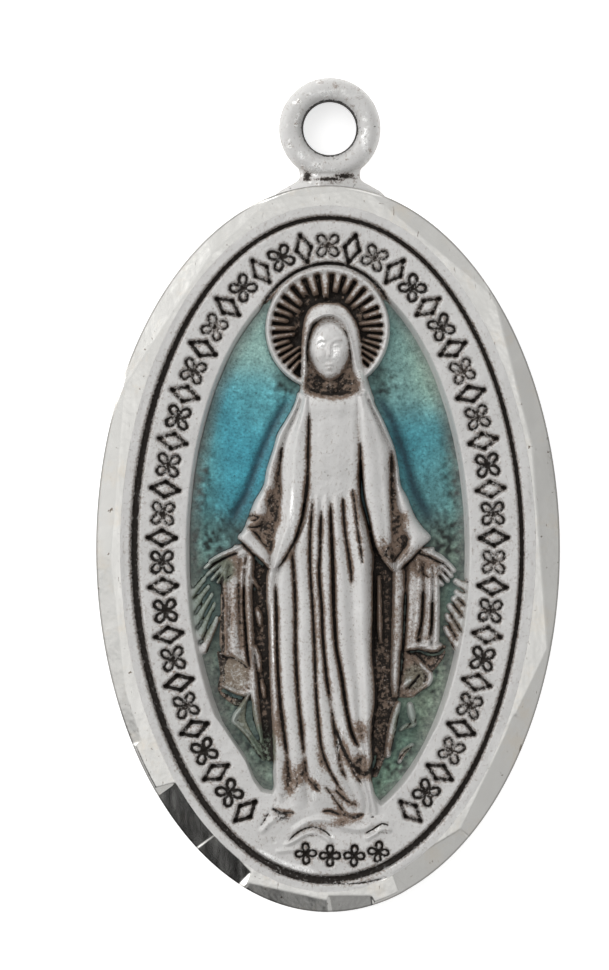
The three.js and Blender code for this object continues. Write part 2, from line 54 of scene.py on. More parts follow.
across = np.arange(-reach[0], reach[0] + cell, cell)
along = np.arange(-reach[1], reach[1] + cell, cell)
gridX, gridY = np.meshgrid(across, along)
die = np.zeros(gridX.shape)
soot = np.zeros(gridX.shape)
smear = np.zeros(gridX.shape)  # thin enamel left on the silver
# silver rubbed bright, and painted highlight where its colour turns near white
polishAndPaintedHighlight = np.zeros(gridX.shape)  # silver rubbed bright
chance = np.random.default_rng(7)


def window(x0, y0, x1, y1):
    # rows and columns of a part of the raster
    i0, i1 = [int(np.clip((v + reach[0]) / cell, 0, len(across))) for v in (x0, x1 + cell)]
    j0, j1 = [int(np.clip((v + reach[1]) / cell, 0, len(along))) for v in (y0, y1 + cell)]
    return slice(j0, j1), slice(i0, i1)


def smoothStep(t):
    t = np.clip(t, 0, 1)
    return t * t * (3 - 2 * t)


def blur(field, radius):
    # a soft blur, from two box blurs each way
    size = max(1, int(round(radius / cell)))
    for axis in (0, 1, 0, 1):
        pad = [(0, 0), (0, 0)]
        pad[axis] = (size + 1, size)
        total = np.cumsum(np.pad(field, pad, mode="edge"), axis=axis)
        ahead = [slice(None)] * 2
        behind = [slice(None)] * 2
        ahead[axis] = slice(2 * size + 1, None)
        behind[axis] = slice(0, -(2 * size + 1))
        field = (total[tuple(ahead)] - total[tuple(behind)]) / (2 * size + 1)
    return field


def curve(at, knots, values):
    # values between rising knots, along a smooth curve
    k = np.clip(np.searchsorted(knots, at) - 1, 0, len(knots) - 2)
    span = (knots[k + 1] - knots[k])[:, None]
    t = np.clip((at - knots[k])[:, None] / span, 0, 1)
    slope = np.gradient(values, knots, axis=0)
    h00, h10 = 2 * t**3 - 3 * t**2 + 1, t**3 - 2 * t**2 + t
    h01, h11 = 3 * t**2 - 2 * t**3, t**3 - t**2
    return h00 * values[k] + h10 * span * slope[k] + h01 * values[k + 1] + h11 * span * slope[k + 1]


def through(points, step=5.0):
    # a smooth line through points, as many short pieces
    points = np.array([p if len(p) == 3 else (*p, 1.0) for p in points], float)
    if len(points) == 2:
        way = np.array([0.0, np.hypot(*(points[1] - points[0])[:2])])
    else:
        way = np.concatenate([[0], np.cumsum(np.hypot(*np.diff(points[:, :2], axis=0).T))])
    at = np.linspace(0, way[-1], max(3, int(way[-1] / step) + 1))
    return curve(at, way, points), at / way[-1]


def trace(points, half, taper=0.12):
    # how near the raster is to a line: 1 on it and 0 at its edges
    line, share = through(points)
    fade = smoothStep(np.minimum(share, 1 - share) / taper + 0.15) if taper else np.ones(len(share))
    width = half * line[:, 2]
    most = width.max()
    lo, hi = line[:, :2].min(0) - most, line[:, :2].max(0) + most
    rows, columns = window(lo[0], lo[1], hi[0], hi[1])
    mark = np.zeros((rows.stop - rows.start, columns.stop - columns.start))
    for a, b, wa, wb, fa, fb in zip(line[:-1, :2], line[1:, :2], width, width[1:], fade, fade[1:]):
        near = window(*(np.minimum(a, b) - most), *(np.maximum(a, b) + most))
        px, py = gridX[near] - a[0], gridY[near] - a[1]
        way = b - a
        t = np.clip((px * way[0] + py * way[1]) / max(way @ way, 1e-9), 0, 1)
        gap = np.hypot(px - t * way[0], py - t * way[1]) / (wa + (wb - wa) * t)
        value = np.clip(1 - gap, 0, 1) * (fa + (fb - fa) * t)
        part = mark[
            near[0].start - rows.start : near[0].stop - rows.start,
            near[1].start - columns.start : near[1].stop - columns.start,
        ]
        np.maximum(part, value, out=part)
    return (rows, columns), mark


def carve(half, depth, dark, points, taper=0.12):
    # a groove along a line, with patina in it
    near, mark = trace(points, half, taper)
    die[near] -= depth * smoothStep(mark)
    soot[near] = np.maximum(soot[near], dark * smoothStep(1.3 * mark))


def raiseLine(half, height, points, taper=0.12):
    # a rounded ridge along a line, added to what is there
    near, mark = trace(points, half, taper)
    die[near] += height * smoothStep(mark)


def layLine(half, foot, top, points, taper=0.0):
    # a rounded strip along a line, up to a height
    near, mark = trace(points, half, taper)
    body = np.where(mark > 0, foot + (top - foot) * np.sqrt(np.clip(1 - (1 - mark) ** 2, 0, 1)), nowhere)
    layOver(near, body, body > die[near])


def patchAt(x, y, wide, high, turn=0.0):
    # the raster near a turned oval, and the square of each cell's share of the way to its edge
    size = max(wide, high)
    near = window(x - size, y - size, x + size, y + size)
    px, py = gridX[near] - x, gridY[near] - y
    c, s = np.cos(np.radians(turn)), np.sin(np.radians(turn))
    return near, ((px * c + py * s) / wide) ** 2 + ((py * c - px * s) / high) ** 2


def layOver(near, body, over, dark=0.0):
    # a form laid over what is there, with its own patina
    die[near] = np.where(over, body, die[near])
    soot[near] = np.where(over, dark, soot[near])


def dome(x, y, wide, high, rise, turn=0.0):
    # a smooth swelling, or a dent, added to what is there
    near, r = patchAt(x, y, wide, high, turn)
    die[near] += rise * np.clip(1 - r, 0, 1) ** 1.5


def smudge(x, y, wide, high, dark, turn=0.0):
    # a soft patch of patina
    near, r = patchAt(x, y, wide, high, turn)
    soot[near] = np.maximum(soot[near], dark * np.clip(1 - r, 0, 1))


def cap(x, y, wide, high, foot, top, turn=0.0):
    # a rounded cap that stands on a foot, laid over what is there
    near, r = patchAt(x, y, wide, high, turn)
    body = foot + (top - foot) * np.sqrt(np.clip(1 - r, 0, 1))
    layOver(near, body, (r < 1) & (body > die[near]))


crestBreadth = 2.4  # how broad and flat a fold's crest is


def sheet(rows, folds, heights, dark=0.0, sunk=False):
    # a draped form: rows of places across, the kind of each column and its height. Round columns are
    # crests, and sharp ones are valleys or edges. A sunk sheet is cut in, instead of laid over.
    rows = sorted(rows)
    knots = np.array([row[0] for row in rows], float)
    columns = np.array([row[2] for row in rows], float)
    tops = np.array([[row[1] * h for h in heights] for row in rows], float)
    near = window(columns.min(), knots[0], columns.max(), knots[-1])
    at = along[near[0]]
    px, top = curve(at, knots, columns), curve(at, knots, tops)
    x = gridX[near]
    body = np.full(x.shape, nowhere)
    for k in range(columns.shape[1] - 1):
        a, b = px[:, k : k + 1], px[:, k + 1 : k + 2]
        t = (x - a) / np.maximum(b - a, 1e-3)
        left, right = folds[k] == "r", folds[k + 1] == "r"
        if left and right:
            ease = (1 - np.cos(np.pi * t)) / 2
        elif right:
            ease = 1 - (1 - np.clip(t, 0, 1)) ** crestBreadth
        elif left:
            ease = np.clip(t, 0, 1) ** crestBreadth
        else:
            ease = t
        inside = (t >= 0) & (t <= 1)
        body = np.where(inside, top[:, k : k + 1] + (top[:, k + 1 : k + 2] - top[:, k : k + 1]) * ease, body)
    layOver(near, body, body > (nowhere + 1 if sunk else die[near]), dark)


# The oval plate
ovals = {  # half width and half height, in millimetres
    "edge": (7.5, 11.75),
    "groove": (6.27, 10.70),
    "marks": (5.37, 9.8),
    "field": (4.6, 9.0),
}
# Bright cuts of the rim: middle in degrees clockwise from the top, how far in from the edge each begins,
# its fall outwards, its lean along the rim, and half its length
brightCuts = [
    (21, 54, 0.10, 0.05, 16),
    (36, 50, 0.26, -0.04, 400),
    (58, 50, 0.30, 0.04, 400),
    (78, 40, 0.46, 0.0, 150),
    (97, 54, 0.26, -0.04, 400),
    (117, 54, 0.30, 0.04, 400),
    (133, 56, 0.24, -0.04, 150),
    (151, 56, 0.46, 0.08, 75),
    (161, 50, 0.13, 0.0, 36),
    (174, 46, 0.36, 0.06, 40),
    (188, 52, 0.28, 0.0, 100),
    (202, 52, 0.15, 0.06, 26),
    (211, 58, 0.45, 0.03, 74),
    (221, 61, 0.47, -0.02, 62),
    (232, 57, 0.10, 0.03, 56),
    (243, 54, 0.20, 0.0, 62),
    (260, 57, 0.26, 0.0, 230),
    (285, 58, 0.22, -0.02, 400),
    (308, 58, 0.25, 0.03, 400),
    (334, 56, 0.22, -0.02, 400),
    (356, 44, 0.22, 0.0, 400),
]
# Where the rim begins outside the groove, its height over the band, how steeply a cut ends, and the drop,
# slope and painted shade of the outer edge
rimLook = {"begins": 21, "rise": 1.5, "ends": 1.2, "drop": 5, "slope": 0.8, "patina": 0.6}
# The groove's depth and half width, how much broader it is at the lower left, its patina, and the height,
# place and half width of the lip outside it
grooveLook = {"depth": 26, "half": 4.6, "more": 3.0, "patina": 0.97, "lip": 7, "lipAt": 13, "lipHalf": 6.5}


def ovalGap(name):
    # distance from an oval, outwards, in table lengths
    a, b = [v / unit for v in ovals[name]]
    share = np.hypot(gridX / a, gridY / b)
    steep = np.hypot(gridX / a**2, gridY / b**2) / np.maximum(share, 1e-6)
    return (share - 1) / np.maximum(steep, 1e-6)


# The ground's upper edge: places across and along
groundEdge = [
    (-240, -280), (-200, -335), (-155, -402), (-140, -440), (-126, -460), (-105, -464), (-99, -440),
    (-94, -425), (74, -425), (80, -440), (86, -468), (97, -482), (110, -497), (125, -492), (140, -462),
    (160, -422), (200, -345), (240, -290),
]


def strikePlate():
    die[:] = bandLevel * smoothStep(ovalGap("field") / 19 + 0.85)
    edge = np.interp(gridX, *np.array(groundEdge, float).T)
    die[:] = np.maximum(die, bandLevel * smoothStep((edge - gridY) / 12 + 0.6))
    look, gap = grooveLook, ovalGap("groove")
    wide = look["half"] + look["more"] * smoothStep((-gridX - 0.6 * gridY) / 700 + 0.45)
    die[:] -= look["depth"] * np.exp(-((gap / (wide + 0.8)) ** 4))
    soot[:] = np.maximum(soot, look["patina"] * np.exp(-((gap / wide) ** 4)))
    die[:] += look["lip"] * np.exp(-(((gap - look["lipAt"]) / look["lipHalf"]) ** 2))


def strikeRim():
    a, b = [v / unit for v in ovals["edge"]]
    rim = ovalGap("groove") > rimLook["begins"]
    edge = ovalGap("edge")
    for turn, start, fall, lean, half in brightCuts:
        s, c = np.sin(np.radians(turn)), np.cos(np.radians(turn))
        nx, ny = np.array([s / a, c / b]) / np.hypot(s / a, c / b)
        px, py = gridX - a * s, gridY - b * c
        out = px * nx + py * ny + start
        side = px * ny - py * nx
        plane = bandLevel + rimLook["rise"] - fall * out - lean * np.clip(side, -half, half)
        ends = rimLook["ends"] * np.maximum(np.abs(side) - half, 0)  # the cut runs out at its ends
        die[:] = np.where(rim, np.minimum(die, plane + ends), die)
    die[:] = np.minimum(die, bandLevel - rimLook["drop"] - rimLook["slope"] * np.maximum(edge + 5, 0))
    # painted shade along the outer edge, so that its outline shows
    soot[:] = np.maximum(soot, rimLook["patina"] * smoothStep((edge + 4) / 3.5))


# Ornament sunk in the band, lozenges and four-petal flowers in turn: the turns of the first and last in
# radians clockwise from the top, half widths of their lines, depth, and half width and length of each shape
bandMarks = {
    "count": 55, "from": -2.62, "to": 2.62, "half": 7.2, "petalHalf": 5.8, "depth": 16,
    "lozenge": (14.5, 27), "petal": (7.5, 26),
}
# Flowers at the foot, and the second line of the groove there
footMarks = {
    "at": [(-42, -580), (4, -584), (50, -584), (96, -577)],
    "petal": (6.2, 20), "half": 4.4, "depth": 17,
}
footLine = [(-134, -601), (-80, -622), (-30, -635), (10, -637), (60, -636), (125, -622)]


def strikeMark(x, y, turn, lines, half, depth, dark):
    s, c = np.sin(turn), np.cos(turn)
    for line in lines:
        carve(half, depth, dark, [(x + c * u + s * v, y - s * u + c * v) for u, v in line], 0.0)


def flower(wide, petal, turns):
    half = [(0, 0.12), (1, 0.55), (0.55, 0.95)]  # shares of a petal's half width and length
    loop = [(wide * u, petal * v) for u, v in half + [(-u, v) for u, v in half[::-1]]]
    return [
        [(u * np.cos(k) + v * np.sin(k), v * np.cos(k) - u * np.sin(k)) for u, v in loop] for k in np.radians(turns)
    ]


def strikeBand():
    a, b = [v / unit for v in ovals["marks"]]
    t = np.linspace(-np.pi, np.pi, 2001)
    way = np.concatenate([[0], np.cumsum(np.hypot(np.diff(a * np.sin(t)), np.diff(b * np.cos(t))))])
    ends = np.interp([bandMarks["from"], bandMarks["to"]], t, way)
    wide, high = bandMarks["lozenge"]
    corners = [(0, high), (wide, 0), (0, -high), (-wide, 0), (0, high)]
    lozenge = [corners[k : k + 2] for k in range(4)]
    petals = flower(*bandMarks["petal"], [45, 135, 225, 315])
    for k, at in enumerate(np.linspace(*ends, bandMarks["count"])):
        u = np.interp(at, way, t)
        x, y = a * np.sin(u), b * np.cos(u)
        turn = np.arctan2(np.sin(u) / a, np.cos(u) / b)
        dark = 0.76 + 0.12 * np.sin(2.3 * k) + 0.2 * smoothStep((-x - 0.8 * y) / 700)
        marks, half = (petals, bandMarks["petalHalf"]) if k % 2 else (lozenge, bandMarks["half"])
        strikeMark(x, y, turn, marks, half, bandMarks["depth"], dark)
    petals = flower(*footMarks["petal"], [0, 90, 180, 270])
    for x, y in footMarks["at"]:
        strikeMark(x, y, x / 900, petals, footMarks["half"], footMarks["depth"], 1.0)
    carve(2.6, 10, 1.0, footLine, 0.2)


# Halo: its middle, the heights of its disc, rays and rim, and the radii where rays and rim begin and it ends
haloLook = {
    "middle": (-1, 418), "disc": 27, "rays": 34, "rim": 66, "bead": 6, "rayFrom": 62, "rimFrom": 104, "radius": 118,
}
# turns of the slots between its rays, in degrees clockwise from the top
slotTurns = [
    -143, -135, -127, -119, -111, -103, -94, -84, -74, -64.5, -54, -40, -25.5, -11, 5,
    18, 30, 43, 55, 67, 76.5, 86, 95, 103, 110, 118, 125, 132, 140,
]
haloLine = [
    (-128, 432), (-124, 462), (-100, 496), (-60, 527), (-20, 541), (25, 541), (66, 524), (97, 497), (113, 472),
    (122, 446),
]


def strikeHalo():
    look = haloLook
    near = window(-125, 290, 123, 546)
    px, py = gridX[near] - look["middle"][0], gridY[near] - look["middle"][1]
    r = np.hypot(px, py)
    slot = np.interp(np.degrees(np.arctan2(px, py)), slotTurns, range(len(slotTurns)))
    off = 2 * np.abs(slot - np.round(slot))  # 0 in the middle of a slot, 1 in the middle of a ray
    start = look["rayFrom"] + 9 * np.sin(1.7 * np.round(slot + 0.5))
    disc = look["disc"] + look["rays"] * smoothStep((off - 0.24) / 0.3) * smoothStep((r - start) / 14)
    rim = smoothStep((r - look["rimFrom"]) / 4)
    disc = disc * (1 - rim) + look["rim"] * rim
    disc += look["bead"] * np.exp(-(((r - look["rimFrom"] - 9) / 4) ** 2))
    inside = r < look["radius"]
    dark = (1 - smoothStep((disc - 33) / 22)) * inside
    dark *= 1 - 0.45 * np.exp(-(((px - 66) / 26) ** 2 + ((py - 34) / 40) ** 2))  # worn on the right
    layOver(near, disc, inside, dark * 1.1)
    carve(5.4, 24, 1.0, haloLine, 0.2)


# Sheets of the figure. Each row is its place along, how much of its columns' heights it has, and the
# columns' places across. The heights of the columns follow each table.
skirt = [
    (152, 0.56, [-42, -41, -40, -38, -36, -32, -28, -20, -12, -4, 5, 16, 28, 45, 62]),
    (128, 0.86, [-42, -41, -40, -38, -36, -32, -28, -20, -12, -4, 5, 16, 28, 45, 62]),
    (104, 0.95, [-42, -41, -40, -38, -36, -32, -28, -20, -12, -4, 5, 16, 28, 45, 62]),
    (60, 0.98, [-52, -50, -47, -44, -42, -38, -32, -23, -14, -5, 5, 17, 30, 52, 74]),
    (0, 1.0, [-92, -88, -84, -78, -66, -50, -34, -24, -15, -4, 7, 21, 36, 62, 88]),
    (-50, 1.0, [-117, -109, -98, -82, -63, -48, -33, -24, -16, -4, 9, 26, 44, 64, 86]),
    (-130, 1.0, [-115, -106, -98, -80, -62, -45, -28, -20, -11, 0, 12, 30, 48, 66, 86]),
    (-200, 1.0, [-113, -104, -96, -78, -62, -44, -25, -17, -8, 4, 17, 34, 52, 68, 85]),
    (-260, 1.0, [-111, -102, -94, -76, -58, -41, -23, -13, -1, 13, 28, 44, 58, 72, 90]),
    (-310, 1.0, [-108, -100, -89, -71, -54, -37, -20, -8, 8, 22, 36, 50, 60, 74, 88]),
    (-350, 0.98, [-106, -98, -83, -65, -49, -33, -15, -1, 14, 31, 46, 56, 64, 72, 82]),
    (-395, 0.93, [-104, -96, -77, -60, -45, -25, -6, 8, 22, 42, 62, 68, 72, 76, 84]),
    (-440, 0.82, [-104, -95, -75, -58, -42, -16, 14, 22, 36, 48, 60, 67, 72, 77, 83]),
    (-478, 0.69, [-100, -92, -75, -56, -38, -4, 30, 40, 52, 61, 72, 77, 81, 85, 92]),
    (-504, 0.54, [-100, -90, -72, -50, -30, 0, 30, 42, 54, 62, 72, 78, 84, 92, 100]),
]
skirtHeights = [30, 84, 70, 94, 78, 103, 92, 105, 92, 108, 90, 108, 98, 111, 40]
bodice = [
    (294, 0.93, [-42, -30, -6, 22, 48, 66]),
    (286, 0.98, [-40, -30, -6, 22, 48, 64]),
    (240, 1.0, [-38, -26, -6, 20, 44, 61]),
    (180, 1.02, [-39, -26, -6, 20, 44, 62]),
    (146, 1.01, [-40, -28, -8, 20, 44, 62]),
    (124, 0.985, [-42, -30, -8, 20, 44, 62]),
    (100, 0.955, [-44, -31, -8, 20, 44, 62]),
    (74, 0.9, [-46, -32, -8, 20, 44, 62]),
    (48, 0.81, [-50, -34, -8, 20, 44, 62]),
    (20, 0.7, [-56, -36, -8, 20, 44, 62]),
    (0, 0.6, [-60, -38, -8, 20, 44, 62]),
]
bodiceHeights = [88, 102, 105, 106, 103, 86]
leftCloak = [
    (297, 0.9, [-58, -54, -50, -48, -46, -42, -36]),
    (275, 0.96, [-64, -60, -56, -54, -50, -44, -37]),
    (245, 1.0, [-80, -74, -68, -66, -60, -50, -37]),
    (220, 1.0, [-95, -88, -80, -78, -70, -56, -37]),
    (190, 1.0, [-104, -98, -90, -87, -78, -60, -38]),
    (150, 1.0, [-117, -108, -97, -91, -82, -62, -38]),
    (120, 1.0, [-123, -114, -101, -91, -82, -63, -41]),
    (90, 1.0, [-140, -125, -111, -92, -84, -66, -45]),
    (60, 1.0, [-152, -136, -119, -98, -90, -72, -51]),
    (35, 1.0, [-162, -150, -137, -103, -94, -78, -59]),
    (20, 1.0, [-172, -158, -133, -105, -97, -84, -64]),
    (5, 1.0, [-155, -142, -116, -107, -100, -90, -71]),
    (-10, 0.99, [-140, -130, -112, -108, -104, -94, -79]),
    (-25, 0.97, [-124, -120, -112, -109, -106, -99, -90]),
    (-42, 0.92, [-109, -108, -107, -106.5, -106, -105, -103]),
]
leftCloakHeights = [52, 86, 68, 62, 92, 112, 104]
rightCloak = [
    (300, 0.88, [54, 60, 66, 71, 73, 76, 80]),
    (275, 0.95, [57, 65, 73, 78, 80, 84, 89]),
    (245, 1.0, [59, 70, 84, 92, 95, 99, 104]),
    (215, 1.0, [60, 74, 92, 106, 109, 112, 117]),
    (190, 1.0, [61, 78, 98, 117, 121, 123, 126]),
    (150, 1.0, [64, 82, 102, 118, 127, 130, 134]),
    (118, 1.0, [67, 84, 104, 118, 128, 133, 139]),
    (100, 1.0, [69, 86, 106, 119, 129, 137, 149]),
    (80, 1.0, [73, 89, 108, 120, 132, 144, 157]),
    (60, 1.0, [78, 92, 109, 121, 138, 150, 166]),
    (40, 1.0, [82, 95, 111, 122, 139, 156, 180]),
    (20, 1.0, [86, 97, 110, 122, 150, 164, 195]),
    (5, 1.0, [91, 99, 108, 120, 146, 160, 182]),
    (-10, 0.99, [98, 103, 110, 120, 134, 148, 168]),
    (-25, 0.97, [107, 110, 114, 121, 127, 139, 152]),
    (-42, 0.92, [121, 122, 123, 125, 126, 128, 132]),
]
rightCloakHeights = [100, 112, 104, 66, 62, 92, 50]
# Patina in the sleeves: place, reach each way, how dark and its turn
sleeveShades = [
    (-89, 180, 5, 24, 0.55, 0), (-96, 130, 9, 44, 0.62, 8), (-104, 80, 15, 46, 0.85, 12),
    (-118, 40, 22, 28, 1.0, 20), (-112, 12, 11, 20, 1.0, 10),
    (122, 150, 6, 46, 0.8, 0), (123, 95, 7, 44, 0.8, 0), (130, 46, 11, 32, 1.1, 0),
    (138, 16, 17, 22, 0.95, 30), (124, -10, 9, 16, 1.0, 0),
    (110, -4, 10, 18, 0.9, -25), (103, 14, 8, 14, 0.5, -20), (146, 52, 9, 26, 0.5, 0),
    (-42, 112, 6, 16, 0.9, 0),
]
veil = [
    (468, 0.80, [-16, -9, 0, 10, 20]),
    (460, 0.94, [-31, -22, 2, 24, 33]),
    (445, 1.0, [-42, -33, 3, 35, 45]),
    (425, 1.0, [-47, -39, 3, 46, 56]),
    (400, 1.0, [-50, -44, 4, 51, 62]),
    (360, 1.0, [-51, -46, 4, 55, 66]),
    (330, 0.97, [-52, -46, 4, 60, 73]),
    (300, 0.92, [-54, -46, 4, 68, 82]),
    (284, 0.88, [-58, -48, 4, 72, 88]),
]
veilHeights = [58, 92, 100, 90, 50]
faceOpening = [
    (441, 1.0, [-8, 0, 12]),
    (432, 1.0, [-26, 0, 26]),
    (412, 1.0, [-37, 0, 37]),
    (380, 1.0, [-41, 2, 43]),
    (340, 1.0, [-40, 3, 48]),
    (310, 1.0, [-42, 5, 56]),
    (290, 1.0, [-44, 6, 66]),
]
leftHanging = [
    (8, 0.85, [-178, -175, -171, -166, -160, -156, -152, -146, -138]),
    (-30, 1.0, [-202, -196, -188, -178, -166, -162, -158, -149, -139]),
    (-80, 1.0, [-205, -199, -190, -180, -168, -164, -160, -152, -143]),
    (-140, 1.0, [-205, -199, -190, -180, -168, -163, -158, -150, -141]),
    (-190, 1.0, [-204, -198, -189, -179, -165, -160, -155, -147, -139]),
    (-201, 0.98, [-200, -194, -186, -176, -164, -159, -154, -147, -139]),
    (-214, 0.94, [-174, -171, -168, -165, -161, -157, -152, -146, -138]),
    (-236, 0.9, [-153, -152, -151, -150, -149, -148, -147, -143, -135]),
    (-275, 0.8, [-147, -146, -145, -144, -143, -142, -141, -138, -131]),
    (-315, 0.66, [-142, -141, -140, -139, -138, -137, -136, -133, -127]),
    (-350, 0.5, [-132, -131, -131, -130, -130, -129, -129, -127, -123]),
    (-374, 0.3, [-124, -124, -124, -123, -123, -123, -122, -122, -120]),
]
leftHangingHeights = [34, 62, 44, 58, 42, 54, 26, 66, 20]
leftLump = [
    (-206, 0.9, [-190, -178, -164, -152]),
    (-226, 1.0, [-197, -180, -160, -147]),
    (-250, 1.0, [-196, -178, -158, -145]),
    (-266, 0.95, [-202, -182, -160, -144]),
    (-280, 0.8, [-168, -162, -156, -148]),
]
leftLeaf = [
    (-270, 0.9, [-152, -148, -143]),
    (-300, 1.0, [-166, -156, -146]),
    (-325, 1.0, [-181, -165, -146]),
    (-346, 1.0, [-166, -152, -138]),
    (-362, 0.9, [-151, -141, -130]),
    (-386, 0.8, [-136, -129, -122]),
    (-405, 0.6, [-125, -122, -118]),
]
rightHanging = [
    (2, 0.85, [120, 126, 134, 140, 148, 156, 164, 172, 178, 184, 190, 196, 202]),
    (-40, 0.95, [122, 130, 139, 147, 156, 164, 172, 180, 187, 193, 199, 205, 211]),
    (-80, 1.0, [122, 130, 140, 148, 154, 160, 172, 181, 187, 193, 199, 206, 213]),
    (-130, 1.0, [121, 129, 138, 145, 152, 158, 168, 178, 185, 191, 198, 206, 213]),
    (-175, 1.0, [120, 129, 138, 143, 150, 155, 163, 174, 183, 190, 197, 205, 212]),
    (-193, 0.95, [120, 129, 137, 142, 148, 152, 160, 172, 182, 189, 196, 204, 211]),
]
rightHangingHeights = [24, 68, 60, 20, 46, 48, 68, 34, 52, 66, 34, 68, 26]
rightStrip = [
    (-180, 1.0, [120, 129, 138]), (-230, 1.0, [119, 128, 137]), (-262, 0.9, [119, 127, 135]),
    (-282, 0.6, [121, 127, 133]),
]
rightLump = [
    (-202, 0.8, [148, 156, 164, 171]),
    (-224, 1.0, [144, 158, 171, 182]),
    (-243, 1.0, [139, 158, 178, 197]),
    (-262, 1.0, [137, 156, 174, 189]),
    (-284, 0.7, [134, 146, 158, 166]),
]

# Beds of dark patina between the figure and the enamel
leftBed = [
    (30, 1, [-150, -110]), (10, 1, [-152, -96]), (-50, 1, [-146, -108]), (-200, 1, [-142, -108]),
    (-260, 1, [-140, -106]), (-300, 1, [-152, -104]), (-330, 1, [-146, -102]), (-370, 1, [-130, -100]),
    (-405, 1, [-116, -98]),
]
rightBed = [
    (20, 1, [84, 150]), (-20, 1, [86, 160]), (-60, 1, [84, 150]), (-200, 1, [82, 150]), (-250, 1, [86, 150]),
    (-300, 1, [88, 128]), (-350, 1, [84, 124]), (-400, 1, [80, 108]), (-436, 1, [78, 94]),
]
rightShade = [(-184, 1, [140, 226]), (-205, 1, [142, 222]), (-235, 1, [150, 200]), (-262, 1, [150, 178])]
leftShade = [(-196, 1, [-212, -150]), (-235, 1, [-206, -150]), (-280, 1, [-204, -140]), (-300, 1, [-178, -140])]
